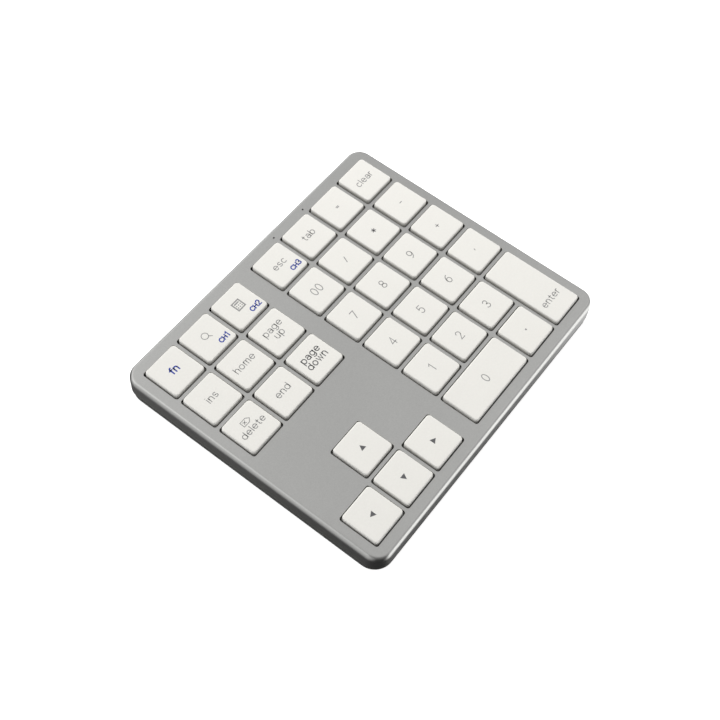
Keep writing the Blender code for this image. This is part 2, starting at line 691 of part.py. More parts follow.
def make_battery():
    block = rounded_block(BATTERY_SIZE, 2.0 * MM, steps=2, top=0.6 * MM, bottom=0.6 * MM)
    place = (*BATTERY_CENTRE, BATTERY_Z)
    link("battery", to_mesh("battery", block), keypad, place, foil, origin)

    work = bmesh.new()
    width, depth, height = CONNECTOR_SIZE
    x, y = CONNECTOR_CENTRE
    add_box(
        work,
        (x - width / 2, y - depth / 2, ON_BOARD_Z),
        (x + width / 2, y + depth / 2, ON_BOARD_Z + height),
    )
    link("battery_connector", to_mesh("battery_connector", work), keypad, material=cream, parent=origin)

    battery_back = BATTERY_CENTRE[1] + BATTERY_SIZE[1] / 2
    connector_front = y - depth / 2
    floor_z = COVER_FLOOR_Z + CLEAR + WIRE_RADIUS
    for name, sign, material in (("positive", -1, red), ("negative", 1, black)):
        start = Vector((x + sign * WIRE_SPACING, battery_back + CLEAR, BATTERY_Z + BATTERY_SIZE[2] / 2))
        rise_to = Vector((x + sign * WIRE_SPACING / 2, connector_front - CLEAR, ON_BOARD_Z + height / 2))
        path = (
            start,
            start + Vector((0, WIRE_LEVEL_END, 0)),
            Vector((start.x, start.y + WIRE_DROP, floor_z)),
            Vector((start.x + sign * WIRE_BOW, start.y + WIRE_BOW_AT, floor_z)),
            Vector((rise_to.x + sign * WIRE_BOW / 2, rise_to.y - WIRE_RISE, floor_z)),
            rise_to - Vector((0, WIRE_LEVEL_END, 0)),
            rise_to,
        )
        curve = bpy.data.curves.new(f"battery_wire_{name}", "CURVE")
        curve.dimensions = "3D"
        curve.bevel_depth = WIRE_RADIUS
        curve.bevel_resolution = 1
        curve.use_fill_caps = True
        spline = curve.splines.new("POLY")
        spline.points.add(len(path) - 1)
        for point, place in zip(spline.points, path):
            point.co = (*place, 1.0)
        link(f"battery_wire_{name}", curve, keypad, material=material, parent=origin)


def make_feet():
    for name, x, y in corner_places(FOOT_INSET):
        work = bmesh.new()
        add_cone(work, 0, 0, 0, FOOT_THICK, FOOT_RADIUS, FOOT_RADIUS, FOOT_SIDES)
        foot = link(f"foot_{name}", to_mesh(f"foot_{name}", work), keypad, (x, y, 0), rubber, origin)
        smooth(foot)


def make_screws():
    """Each is a turned profile, from the axis under the head to the tip, so it is one body."""
    head_z = FOOT_STANDOFF + SCREW_HEAD_SUNK
    neck_z = head_z + SCREW_HEAD_THICK
    tip_z = head_z + SCREW_LENGTH
    profile = (
        (0, tip_z),
        (SCREW_TIP_RADIUS, tip_z),
        (SCREW_SHANK_RADIUS, tip_z - SCREW_TIP_LENGTH),
        (SCREW_SHANK_RADIUS, neck_z),
        (SCREW_HEAD_RADIUS, neck_z),
        (SCREW_HEAD_RADIUS, head_z),
        (0, head_z),
    )
    for name, x, y in corner_places(SCREW_INSET):
        work = bmesh.new()
        points = [work.verts.new((radius, 0, z)) for radius, z in profile]
        for first, second in zip(points, points[1:]):
            work.edges.new((first, second))
        mesh = bpy.data.meshes.new(f"screw_{name}")
        work.to_mesh(mesh)
        work.free()
        screw = link(f"screw_{name}", mesh, keypad, (x, y, 0), steel, origin)
        turn = screw.modifiers.new("turned", "SCREW")
        turn.steps = turn.render_steps = SCREW_SIDES
        turn.use_merge_vertices = True
        turn.merge_threshold = 0.0001 * MM
        turn.use_smooth_shade = True


for old in list(bpy.data.objects):
    bpy.data.objects.remove(old)

keypad = bpy.data.collections.new("numeric_keypad")
helpers = bpy.data.collections.new("cutters")
for group in (keypad, helpers):
    bpy.context.scene.collection.children.link(group)
origin = bpy.data.objects.new("keypad_origin", None)
keypad.objects.link(origin)

white = principled("white_keycap_plastic", (0.84, 0.83, 0.80), 0.5)
aluminium = principled("satin_anodised_aluminium", (0.44, 0.44, 0.42), 0.42, 1.0)
dark_plastic = principled("dark_grey_plastic", (0.07, 0.07, 0.065), 0.5)
steel = principled("plated_steel", (0.55, 0.55, 0.54), 0.35, 1.0)
film = principled("circuit_film", (0.75, 0.78, 0.72), 0.35)
silicone = principled("milky_silicone", (0.80, 0.80, 0.78), 0.6)
green = principled("green_circuit_board", (0.03, 0.16, 0.07), 0.4)
clear = principled("clear_light_pipe", (0.85, 0.88, 0.88), 0.15)
foil = principled("battery_foil", (0.62, 0.62, 0.60), 0.45, 0.6)
cream = principled("cream_connector_plastic", (0.75, 0.70, 0.58), 0.5)
red = principled("red_wire_jacket", (0.45, 0.02, 0.02), 0.5)
black = principled("black_wire_jacket", (0.02, 0.02, 0.02), 0.5)
rubber = principled("black_rubber", (0.03, 0.03, 0.03), 0.85)

keys = key_plan()
make_keycaps(keys)
make_top_case(keys)
make_bottom_cover()
sheet_cuts, sheet_slots = make_stack_cuts(keys)
make_support_plate(keys, sheet_cuts)
make_membrane(sheet_cuts, sheet_slots)
make_dome_sheet(keys, sheet_cuts, sheet_slots)
make_stabilisers(keys)
make_circuit_board()
make_charging_socket()
make_power_switch()
make_light_pipes()
make_battery()
make_feet()
make_screws()
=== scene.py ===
"""The finished look of the wireless numeric keypad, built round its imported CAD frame. Metres, +Z up."""

import json
import math

import bmesh
import bpy
from mathutils import Matrix, Quaternion, Vector


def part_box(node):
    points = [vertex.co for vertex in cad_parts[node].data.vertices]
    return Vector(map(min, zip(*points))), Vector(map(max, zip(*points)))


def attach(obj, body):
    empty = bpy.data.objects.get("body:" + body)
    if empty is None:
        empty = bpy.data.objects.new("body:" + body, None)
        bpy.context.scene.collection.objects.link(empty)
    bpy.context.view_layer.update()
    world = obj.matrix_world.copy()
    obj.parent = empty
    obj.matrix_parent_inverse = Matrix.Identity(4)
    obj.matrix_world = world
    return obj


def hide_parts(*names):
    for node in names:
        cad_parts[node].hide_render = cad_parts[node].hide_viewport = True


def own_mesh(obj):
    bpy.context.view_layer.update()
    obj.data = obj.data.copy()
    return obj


MM = 0.001

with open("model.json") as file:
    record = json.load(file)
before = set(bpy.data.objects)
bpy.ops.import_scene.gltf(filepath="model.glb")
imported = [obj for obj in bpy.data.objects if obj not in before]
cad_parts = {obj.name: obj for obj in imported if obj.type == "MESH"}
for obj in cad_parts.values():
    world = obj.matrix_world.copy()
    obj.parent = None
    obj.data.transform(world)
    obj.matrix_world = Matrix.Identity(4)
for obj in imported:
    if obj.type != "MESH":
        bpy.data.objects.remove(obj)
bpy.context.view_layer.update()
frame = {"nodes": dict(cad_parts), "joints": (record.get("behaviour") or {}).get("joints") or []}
scene = bpy.context.scene

# ---------- camera

CAMERA_PLACE = Vector((-213.8, -129.7, 419.2)) * MM
CAMERA_AIM = Vector((-11.07, -4.59, 12.8)) * MM
CAMERA_ROLL = math.radians(6.5)
CAMERA_LENS = 60.4
SENSOR = 36.0
CLIP_START, CLIP_END = 0.01, 50


def make_camera():
    data = bpy.data.cameras.new("camera")
    data.lens = CAMERA_LENS
    data.sensor_width = SENSOR
    data.clip_start, data.clip_end = CLIP_START, CLIP_END
    camera = bpy.data.objects.new("camera", data)
    scene.collection.objects.link(camera)
    camera.location = CAMERA_PLACE
    camera.rotation_mode = "QUATERNION"
    level = (CAMERA_AIM - CAMERA_PLACE).to_track_quat("-Z", "Y")
    camera.rotation_quaternion = level @ Quaternion((0, 0, 1), CAMERA_ROLL)
    scene.camera = camera


# ---------- materials


class Surface:
    """A Principled material whose colour, roughness and bump come from noise at the real scale."""

    def __init__(self, name, colour, roughness, metallic=0.0, specular=0.5, see_through=0.0):
        self.made = bpy.data.materials.new(name)
        self.made.use_nodes = True
        self.nodes = self.made.node_tree.nodes
        self.links = self.made.node_tree.links
        self.shader = self.nodes["Principled BSDF"]
        self.shader.inputs["Metallic"].default_value = metallic
        self.shader.inputs["Roughness"].default_value = roughness
        self.shader.inputs["Specular IOR Level"].default_value = specular
        self.shader.inputs["Transmission Weight"].default_value = see_through
        self.where = self.nodes.new("ShaderNodeTexCoord").outputs["Object"]
        self.colour = self.nodes.new("ShaderNodeRGB").outputs[0]
        self.colour.default_value = (*colour, 1.0)
        self.links.new(self.colour, self.shader.inputs["Base Color"])

    def noise(self, size, detail=2.0, stretch=(1, 1, 1)):
        """Noise with features about size metres across; stretch draws them out along an axis."""
        mapping = self.nodes.new("ShaderNodeMapping")
        mapping.inputs["Scale"].default_value = [1 / s for s in stretch]
        texture = self.nodes.new("ShaderNodeTexNoise")
        texture.inputs["Scale"].default_value = 0.5 / size
        texture.inputs["Detail"].default_value = detail
        self.links.new(self.where, mapping.inputs["Vector"])
        self.links.new(mapping.outputs[0], texture.inputs["Vector"])
        return texture.outputs["Fac"]

    def ranged(self, value, low, high, start=0.3, end=0.7):
        """Goes from low to high as a value goes from start to end. Most of a noise lies in 0.3 to 0.7."""
        node = self.nodes.new("ShaderNodeMapRange")
        node.inputs["From Min"].default_value = start
        node.inputs["From Max"].default_value = end
        node.inputs["To Min"].default_value = low
        node.inputs["To Max"].default_value = high
        self.links.new(value, node.inputs["Value"])
        return node.outputs["Result"]

    def shade(self, size, amount):
        """Lightens and darkens the colour by a share of itself."""
        factor = self.ranged(self.noise(size), 1 - amount, 1 + amount)
        mix = self.nodes.new("ShaderNodeVectorMath")
        mix.operation = "SCALE"
        self.links.new(self.colour, mix.inputs[0])
        self.links.new(factor, mix.inputs["Scale"])
        self.colour = mix.outputs["Vector"]
        self.links.new(self.colour, self.shader.inputs["Base Color"])
        return self

    def height(self):
        """The height in the piece's own frame, in metres."""
        node = self.nodes.new("ShaderNodeSeparateXYZ")
        self.links.new(self.where, node.inputs[0])
        return node.outputs["Z"]

    def tint(self, other, value, start, end):
        """Blends towards another colour as a value goes from start to end."""
        mix = self.nodes.new("ShaderNodeMix")
        mix.data_type = "RGBA"
        self.links.new(self.ranged(value, 0.0, 1.0, start, end), mix.inputs["Factor"])
        self.links.new(self.colour, mix.inputs["A"])
        mix.inputs["B"].default_value = (*other, 1.0)
        self.colour = mix.outputs["Result"]
        self.links.new(self.colour, self.shader.inputs["Base Color"])
        return self

    def rough(self, size, low, high, stretch=(1, 1, 1)):
        """Lets the roughness wander between low and high."""
        value = self.ranged(self.noise(size, 3.0, stretch), low, high)
        self.links.new(value, self.shader.inputs["Roughness"])
        return self

    def bump(self, size, height, stretch=(1, 1, 1)):
        node = self.nodes.new("ShaderNodeBump")
        node.inputs["Distance"].default_value = height
        self.links.new(self.noise(size, stretch=stretch), node.inputs["Height"])
        self.links.new(node.outputs["Normal"], self.shader.inputs["Normal"])
        return self


INKS = {"grey": (0.30, 0.30, 0.30), "dark": (0.115, 0.115, 0.12), "blue": (0.035, 0.065, 0.36)}


def make_materials():
    made = {
        "aluminium": Surface("anodised_aluminium", (0.60, 0.60, 0.585), 0.30, 1.0)
        .shade(18 * MM, 0.02)
        .shade(0.25 * MM, 0.035)
        .rough(1.2 * MM, 0.28, 0.33)
        .bump(0.16 * MM, 0.003 * MM),
        "keycap": Surface("white_keycap_plastic", (0.845, 0.835, 0.80), 0.45, specular=0.4)
        .shade(9 * MM, 0.012)
        .shade(0.4 * MM, 0.012)
        .rough(0.7 * MM, 0.40, 0.50)
        .bump(0.22 * MM, 0.004 * MM),
        "cover": Surface("dark_cover_plastic", (0.055, 0.056, 0.052), 0.5)
        .shade(14 * MM, 0.08)
        .rough(1.0 * MM, 0.42, 0.55)
        .bump(0.3 * MM, 0.015 * MM),
        "switch": Surface("dark_switch_plastic", (0.05, 0.05, 0.048), 0.45)
        .shade(1.0 * MM, 0.1)
        .rough(0.5 * MM, 0.38, 0.5)
        .bump(0.2 * MM, 0.006 * MM),
        "rubber": Surface("black_foot_rubber", (0.022, 0.022, 0.021), 0.85)
        .shade(2.0 * MM, 0.25)
        .rough(0.6 * MM, 0.78, 0.92)
        .bump(0.25 * MM, 0.02 * MM),
        "steel": Surface("plated_steel", (0.56, 0.56, 0.55), 0.34, 1.0)
        .shade(5 * MM, 0.06)
        .rough(1.5 * MM, 0.26, 0.40, stretch=(6, 1, 1))
        .bump(0.2 * MM, 0.002 * MM, stretch=(10, 1, 1)),
        "screw": Surface("black_screw_steel", (0.10, 0.10, 0.10), 0.38, 1.0)
        .shade(0.6 * MM, 0.2)
        .rough(0.3 * MM, 0.30, 0.45),
        "socket": Surface("bright_socket_shell", (0.62, 0.62, 0.61), 0.25, 1.0)
        .shade(1.5 * MM, 0.08)
        .rough(0.6 * MM, 0.20, 0.34),
        "contact": Surface("gold_contact", (0.80, 0.56, 0.22), 0.28, 1.0)
        .shade(0.5 * MM, 0.08)
        .rough(0.3 * MM, 0.22, 0.34),
        "tongue": Surface("black_tongue_plastic", (0.02, 0.02, 0.02), 0.4)
        .shade(0.5 * MM, 0.15)
        .rough(0.3 * MM, 0.34, 0.46),
        "film": Surface("printed_contact_film", (0.72, 0.76, 0.70), 0.3)
        .shade(20 * MM, 0.04)
        .rough(4 * MM, 0.24, 0.36),
        "silicone": Surface("milky_silicone", (0.74, 0.74, 0.71), 0.55)
        .shade(6 * MM, 0.04)
        .rough(1.0 * MM, 0.48, 0.62)
        .bump(0.4 * MM, 0.006 * MM),
        "nylon": Surface("natural_nylon_links", (0.66, 0.65, 0.60), 0.42)
        .shade(3 * MM, 0.05)
        .rough(0.8 * MM, 0.36, 0.48),
        "board": Surface("green_circuit_board", (0.02, 0.13, 0.05), 0.35)
        .shade(1.5 * MM, 0.2)
        .rough(1.0 * MM, 0.28, 0.42),
        "clear": Surface("clear_light_pipe", (0.80, 0.84, 0.84), 0.12, see_through=0.6)
        .shade(1.0 * MM, 0.04)
        .rough(0.5 * MM, 0.10, 0.18),
        "foil": Surface("battery_foil", (0.60, 0.60, 0.58), 0.42, 0.7)
        .shade(5 * MM, 0.05)
        .rough(2 * MM, 0.35, 0.5)
        .bump(1.6 * MM, 0.05 * MM),
        "cream": Surface("cream_connector", (0.70, 0.66, 0.54), 0.5)
        .shade(1.0 * MM, 0.05)
        .rough(0.5 * MM, 0.42, 0.56),
        "red": Surface("red_wire_jacket", (0.40, 0.02, 0.02), 0.42)
        .shade(1.0 * MM, 0.1)
        .rough(0.6 * MM, 0.36, 0.5),
        "black": Surface("black_wire_jacket", (0.02, 0.02, 0.02), 0.42)
        .shade(1.0 * MM, 0.15)
        .rough(0.6 * MM, 0.36, 0.5),
    }
    for name, colour in INKS.items():
        ink = Surface(f"{name}_legend_ink", colour, 0.5)
        made[f"{name}_ink"] = ink.shade(0.5 * MM, 0.06).rough(0.4 * MM, 0.45, 0.55)
    keycap = made["keycap"]
    # painted shade: the keycap colour darkens down its sides, in place of the shade they stand in
    keycap.tint(KEY_SIDE_SHADE, keycap.height(), KEY_TOP - SIDE_SHADE_START, KEY_TOP - SIDE_SHADE_FULL)
    return {name: surface.made for name, surface in made.items()}


# ---------- mesh tools

TINY = 1e-9  # lengths under this count as none


def ring(width, depth, radius, z, steps, centre=(0.0, 0.0)):
    """Points of a rounded rectangle at height z, anticlockwise, with steps + 1 points to a corner."""
    points = []
    for corner, (sx, sy) in enumerate(((1, 1), (-1, 1), (-1, -1), (1, -1))):
        cx = centre[0] + sx * (width / 2 - radius)
        cy = centre[1] + sy * (depth / 2 - radius)
        for step in range(steps + 1):
            angle = math.pi / 2 * (corner + step / steps)
            points.append((cx + radius * math.cos(angle), cy + radius * math.sin(angle), z))
    return points


def loft(work, rings, close_last=True):
    """Joins rings of as many points each with quads, and closes the ends, or only the first."""
    rows = [[work.verts.new(point) for point in points] for points in rings]
    count = len(rows[0])
    for low, high in zip(rows, rows[1:]):
        for i in range(count):
            j = (i + 1) % count
            work.faces.new((low[i], low[j], high[j], high[i]))
    work.faces.new(rows[0][::-1])
    if close_last:
        work.faces.new(rows[-1])


def add_box(work, low, high, material=0, turn=None):
    low, high = Vector(low), Vector(high)
    made = bmesh.ops.create_cube(work, size=1.0)["verts"]
    bmesh.ops.scale(work, vec=high - low, verts=made)
    bmesh.ops.translate(work, vec=(low + high) / 2, verts=made)
    if turn:
        bmesh.ops.transform(work, matrix=turn, verts=made)
    for face in {f for v in made for f in v.link_faces}:
        face.material_index = material


def add_turned(work, profile, steps, centre=(0, 0)):
    """A turned solid from (radius, z) points, from the axis at one end to the axis at the other."""
    rows = []
    for radius, z in profile:
        if radius < TINY:
            rows.append([work.verts.new((*centre, z))])
            continue
        angles = [2 * math.pi * k / steps for k in range(steps)]
        rows.append(
            [
                work.verts.new((centre[0] + radius * math.cos(a), centre[1] + radius * math.sin(a), z))
                for a in angles
            ]
        )
    for first, second in zip(rows, rows[1:]):
        for i in range(steps):
            j = (i + 1) % steps
            corners = [first[i % len(first)], first[j % len(first)], second[j % len(second)]]
            corners.append(second[i % len(second)])
            unique = [v for k, v in enumerate(corners) if v not in corners[:k]]
            work.faces.new(unique)


def to_mesh(name, work):
    bmesh.ops.recalc_face_normals(work, faces=work.faces)
    mesh = bpy.data.meshes.new(name)
    work.to_mesh(mesh)
    work.free()
    return mesh


def quarter(steps):
    """Angles from 0 to a quarter turn."""
    return [math.pi / 2 * step / steps for step in range(steps + 1)]


def smooth(mesh, sharp):
    mesh.shade_smooth()
    mesh.set_sharp_from_angle(angle=math.radians(sharp))


def flatten_faces(obj):
    """Keeps large flat faces from picking up shading from the rounded edges beside them."""
    obj.modifiers.new("flat faces", "WEIGHTED_NORMAL").keep_sharp = True


def link(name, mesh, materials, sharp=35):
    """Puts a mesh in the scene with smooth shading and sharp edges past an angle."""
    obj = bpy.data.objects.new(name, mesh)
    for material in materials:
        mesh.materials.append(material)
    scene.collection.objects.link(obj)
    if sharp:
        smooth(mesh, sharp)
    return obj


def boolean(obj, work):
    """Cuts a bmesh's shape out of an object."""
    cutter = bpy.data.objects.new("cutter", to_mesh("cutter", work))
    scene.collection.objects.link(cutter)
    modifier = obj.modifiers.new("cut", "BOOLEAN")
    modifier.operation = "DIFFERENCE"
    modifier.object = cutter
    modifier.material_mode = "INDEX"
    bpy.context.view_layer.update()
    result = bpy.data.meshes.new_from_object(obj.evaluated_get(bpy.context.evaluated_depsgraph_get()))
    obj.modifiers.remove(modifier)
    old = obj.data
    obj.data = result
    result.name = old.name
    bpy.data.meshes.remove(old)
    bpy.data.objects.remove(cutter)


def finish_piece(obj, body, node):
    """Puts a piece on its body in the place of a CAD node."""
    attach(obj, body)
    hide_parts(node)


def middle(node):
    low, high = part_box(node)
    return (low + high) / 2


def size_of(node):
    low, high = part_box(node)
    return high - low


# ---------- keys

KEY_NODES = [node for node in frame["nodes"] if node.startswith("key_")]
PLAIN_KEY = "key_5"
KEY_BOTTOM, KEY_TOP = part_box(PLAIN_KEY)[0].z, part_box(PLAIN_KEY)[1].z
# Painted shade: a key's sides are drawn darker than its top, standing in for the shade on them. The colour
# changes between two depths under the top.
KEY_SIDE_SHADE = (0.60, 0.59, 0.56)
SIDE_SHADE_START, SIDE_SHADE_FULL = 0.4 * MM, 1.2 * MM
KEY_CORNER = 1.5 * MM
KEY_EDGE = 0.55 * MM
KEY_TAPER = 0.12 * MM
KEY_WALL = 1.0 * MM
KEY_ROOF = 1.0 * MM
INK_RISE = 0.015 * MM
CAP_TOP = KEY_TOP - INK_RISE - 0.005 * MM
DECK_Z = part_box("top_case")[1].z
PLATE_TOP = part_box("support_plate")[0].z + 0.5 * MM
DOME_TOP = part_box("dome_sheet")[1].z
KEY_STEPS = 8
KEY_EDGE_STEPS = 6
RIM = 0.1 * MM  # a small bevel round the lower rim
PLUNGER_RADIUS = 1.4 * MM
CLIP_X, CLIP_Y = 4.6 * MM, 4.4 * MM
CLIP_DROP = 1.5 * MM
CLIP_HALF_X, CLIP_HALF_Y = 0.9 * MM, 0.4 * MM
HOOK_HALF_X, HOOK_HALF_Y = 0.3 * MM, 0.8 * MM
HOOK_HEIGHT = 0.5 * MM
QUARTER_TURN = Matrix.Rotation(math.pi / 2, 4, "Z")  # for the key that is deeper than it is wide


def keycap_mesh(name, width, depth):
    """A hollow cap with a soft top edge, a plunger for the dome and clips for the scissor links."""
    work = bmesh.new()
    steps = KEY_STEPS
    inner_roof = CAP_TOP - KEY_ROOF
    inner = (width - 2 * KEY_WALL, depth - 2 * KEY_WALL)
    inner_corner = KEY_CORNER - KEY_WALL
    rings = [
        ring(inner[0] - 0.6 * MM, inner[1] - 0.6 * MM, inner_corner * 0.8, inner_roof, steps),
        ring(*inner, inner_corner, inner_roof - 0.3 * MM, steps),
        ring(*inner, inner_corner, KEY_BOTTOM + RIM, steps),
        ring(inner[0] + 2 * RIM, inner[1] + 2 * RIM, 1.0 * MM, KEY_BOTTOM, steps),
        ring(width - 2 * RIM, depth - 2 * RIM, KEY_CORNER - RIM, KEY_BOTTOM, steps),
        ring(width, depth, KEY_CORNER, KEY_BOTTOM + RIM, steps),
        ring(width, depth, KEY_CORNER, KEY_BOTTOM + 0.4 * MM, steps),
    ]
    shoulder = CAP_TOP - KEY_EDGE
    for angle in quarter(KEY_EDGE_STEPS):
        inset = KEY_TAPER + KEY_EDGE * (1 - math.cos(angle))
        z = shoulder + KEY_EDGE * math.sin(angle)
        rings.append(ring(width - 2 * inset, depth - 2 * inset, KEY_CORNER - inset * 0.6, z, steps))
    flat = KEY_TAPER + KEY_EDGE + 0.4 * MM
    rings.append(ring(width - 2 * flat, depth - 2 * flat, KEY_CORNER - 0.6 * MM, CAP_TOP, steps))
    loft(work, rings)
    # Plunger over the dome, and two pairs of clips.
    plunger_foot = DOME_TOP + 0.2 * MM
    roof = inner_roof + 0.2 * MM
    add_turned(
        work,
        (
            (0, plunger_foot),
            (PLUNGER_RADIUS - 0.3 * MM, plunger_foot),
            (PLUNGER_RADIUS, plunger_foot + 0.3 * MM),
            (PLUNGER_RADIUS, roof),
            (0, roof),
        ),
        20,
    )
    turn = QUARTER_TURN if depth > width else None
    for sign_x in (-1, 1):
        for sign_y in (-1, 1):
            x, y = sign_x * CLIP_X, sign_y * CLIP_Y
            foot = inner_roof - CLIP_DROP
            low = (x - CLIP_HALF_X, y - CLIP_HALF_Y, foot)
            add_box(work, low, (x + CLIP_HALF_X, y + CLIP_HALF_Y, roof), turn=turn)
            hook_x = x - sign_x * CLIP_HALF_X
            low = (hook_x - HOOK_HALF_X, y - HOOK_HALF_Y, foot)
            add_box(work, low, (hook_x + HOOK_HALF_X, y + HOOK_HALF_Y, foot + HOOK_HEIGHT), turn=turn)
    return to_mesh(name, work)


# Legends are drawn as strokes on the middle line of each letter. Letters are in units of the height of a
# small x, digits in units of their own height. A tuple of points is a polyline, and an arc is
# ("arc", centre x, centre y, radius x, radius y, start, end) in degrees. Each entry starts with its width.
STEM = ((0.07, 0), (0.07, 1))
TALL_STEM = ((0.07, 0), (0.07, 1.42))
LEFT_BOWL = ("arc", 0.48, 0.5, 0.45, 0.5, 0, 360)
RIGHT_BOWL = ("arc", 0.52, 0.5, 0.45, 0.5, 0, 360)
ARCH = ("arc", 0.45, 0.62, 0.38, 0.38, 180, 0)
ARCH_LEG = ((0.83, 0.62), (0.83, 0))
F_HOOK = ("arc", 0.54, 1.10, 0.28, 0.32, 180, 80)
G_TAIL = ("arc", 0.49, -0.05, 0.44, 0.37, 0, -140)
T_FOOT = ("arc", 0.55, 0.28, 0.27, 0.28, 180, 280)
U_FOOT = ("arc", 0.45, 0.38, 0.38, 0.38, 180, 360)
LETTERS = {
    "a": (
        0.90,
        [
            ((0.84, 0), (0.84, 0.64)),
            ("arc", 0.46, 0.64, 0.38, 0.36, 0, 150),
            ("arc", 0.45, 0.29, 0.39, 0.29, 0, 360),
        ],
    ),
    "b": (1.00, [TALL_STEM, RIGHT_BOWL]),
    "c": (0.88, [("arc", 0.5, 0.5, 0.45, 0.5, 48, 312)]),
    "d": (1.00, [((0.93, 0), (0.93, 1.42)), LEFT_BOWL]),
    "e": (0.98, [((0.05, 0.52), (0.95, 0.52)), ("arc", 0.5, 0.5, 0.45, 0.5, 2, 316)]),
    "f": (0.58, [((0.26, 0), (0.26, 1.10)), F_HOOK, ((0.0, 0.96), (0.56, 0.96))]),
    "g": (1.00, [((0.93, 1), (0.93, -0.05)), LEFT_BOWL, G_TAIL]),
    "h": (0.90, [TALL_STEM, ARCH, ARCH_LEG]),
    "i": (0.14, [STEM, ((0.07, 1.36), (0.07, 1.38))]),
    "l": (0.14, [TALL_STEM]),
    "m": (
        1.34,
        [
            STEM,
            ("arc", 0.37, 0.66, 0.30, 0.34, 180, 0),
            ((0.67, 0.66), (0.67, 0)),
            ("arc", 0.97, 0.66, 0.30, 0.34, 180, 0),
            ((1.27, 0.66), (1.27, 0)),
        ],
    ),
    "n": (0.90, [STEM, ARCH, ARCH_LEG]),
    "o": (1.00, [("arc", 0.5, 0.5, 0.45, 0.5, 0, 360)]),
    "p": (1.00, [((0.07, 1), (0.07, -0.42)), RIGHT_BOWL]),
    "r": (0.58, [STEM, ("arc", 0.42, 0.62, 0.35, 0.38, 180, 70)]),
    "s": (0.82, [("arc", 0.42, 0.745, 0.33, 0.255, 35, 270), ("arc", 0.42, 0.245, 0.36, 0.245, 90, -145)]),
    "t": (0.62, [((0.28, 1.30), (0.28, 0.28)), T_FOOT, ((0.0, 0.96), (0.58, 0.96))]),
    "u": (0.90, [((0.07, 1), (0.07, 0.38)), U_FOOT, ((0.83, 1), (0.83, 0))]),
    "w": (1.26, [((0.03, 1), (0.33, 0), (0.63, 1), (0.93, 0), (1.23, 1))]),
    "C": (1.20, [("arc", 0.70, 0.71, 0.63, 0.71, 42, 318)]),
    "H": (1.10, [TALL_STEM, ((1.03, 0), (1.03, 1.42)), ((0.07, 0.74), (1.03, 0.74))]),
}
DIGITS = {
    "0": (0.62, [("arc", 0.31, 0.5, 0.28, 0.5, 0, 360)]),
    "1": (0.40, [((0.08, 0.80), (0.32, 1), (0.32, 0))]),
    "2": (0.62, [("arc", 0.31, 0.71, 0.26, 0.29, 165, -35), ((0.523, 0.544), (0.05, 0), (0.60, 0))]),
    "3": (0.60, [("arc", 0.29, 0.745, 0.24, 0.255, 155, -90), ("arc", 0.29, 0.25, 0.28, 0.25, 90, -155)]),
    "4": (0.66, [((0.46, 0), (0.46, 1), (0.02, 0.28), (0.65, 0.28))]),
    "5": (0.62, [((0.55, 1), (0.13, 1), (0.09, 0.56)), ("arc", 0.30, 0.33, 0.28, 0.33, 133, -150)]),
    "6": (0.62, [("arc", 0.31, 0.32, 0.28, 0.32, 0, 360), ("arc", 0.55, 0.34, 0.52, 0.66, 180, 96)]),
    "7": (0.60, [((0.04, 1), (0.58, 1), (0.20, 0))]),
    "8": (0.62, [("arc", 0.31, 0.75, 0.24, 0.25, 0, 360), ("arc", 0.31, 0.25, 0.28, 0.25, 0, 360)]),
    "9": (0.62, [("arc", 0.31, 0.68, 0.28, 0.32, 0, 360), ("arc", 0.07, 0.66, 0.52, 0.66, 0, -84)]),
    "=": (0.62, [((0.04, 0.62), (0.58, 0.62)), ((0.04, 0.38), (0.58, 0.38))]),
    "/": (0.50, [((0.04, 0), (0.46, 1))]),
    "*": (
        0.60,
        [((0.3, 0.24), (0.3, 0.76)), ((0.075, 0.37), (0.525, 0.63)), ((0.075, 0.63), (0.525, 0.37))],
    ),
    "-": (0.60, [((0.04, 0.5), (0.56, 0.5))]),
    "+": (0.60, [((0.0, 0.5), (0.6, 0.5)), ((0.3, 0.2), (0.3, 0.8))]),
    ",": (0.20, [((0.13, 0.56), (0.07, 0.38))]),
    ".": (0.16, [((0.08, 0.46), (0.08, 0.50))]),
}
GLYPHS = {**LETTERS, **DIGITS}
GREY, DARK, BLUE = range(3)  # a legend's inks, in the order of INKS
X_HEIGHT = 2.05 * MM
DIGIT_HEIGHT = 3.6 * MM
STROKE = 0.36 * MM
LETTER_GAP = 0.30  # of the height of a small x
DIGIT_GAP = 0.20  # of the height of a digit
ARC_STEP = 15  # degrees
STROKE_END_STEPS = 6
MITRE_LIMIT = 0.5  # keeps a sharp turn from running to a spike
POINT_GRID = 1e8  # points on the same step of this many to a metre are one


def stroke_points(stroke):
    if stroke[0] != "arc":
        return [Vector(point) for point in stroke]
    _, cx, cy, rx, ry, start, end = stroke
    count = max(2, round(abs(end - start) / ARC_STEP))
    angles = [math.radians(start + (end - start) * k / count) for k in range(count + 1)]
    return [Vector((cx + rx * math.cos(a), cy + ry * math.sin(a))) for a in angles]


def raise_print(work, faces, corners, material):
    """Thickens flat faces into printing that stands just out of the key."""
    raised = bmesh.ops.extrude_face_region(work, geom=faces)["geom"]
    tops = [item for item in raised if isinstance(item, bmesh.types.BMVert)]
    bmesh.ops.translate(work, vec=(0, 0, 2 * INK_RISE), verts=tops)
    for face in {f for v in [*tops, *corners] for f in v.link_faces}:
        face.material_index = material


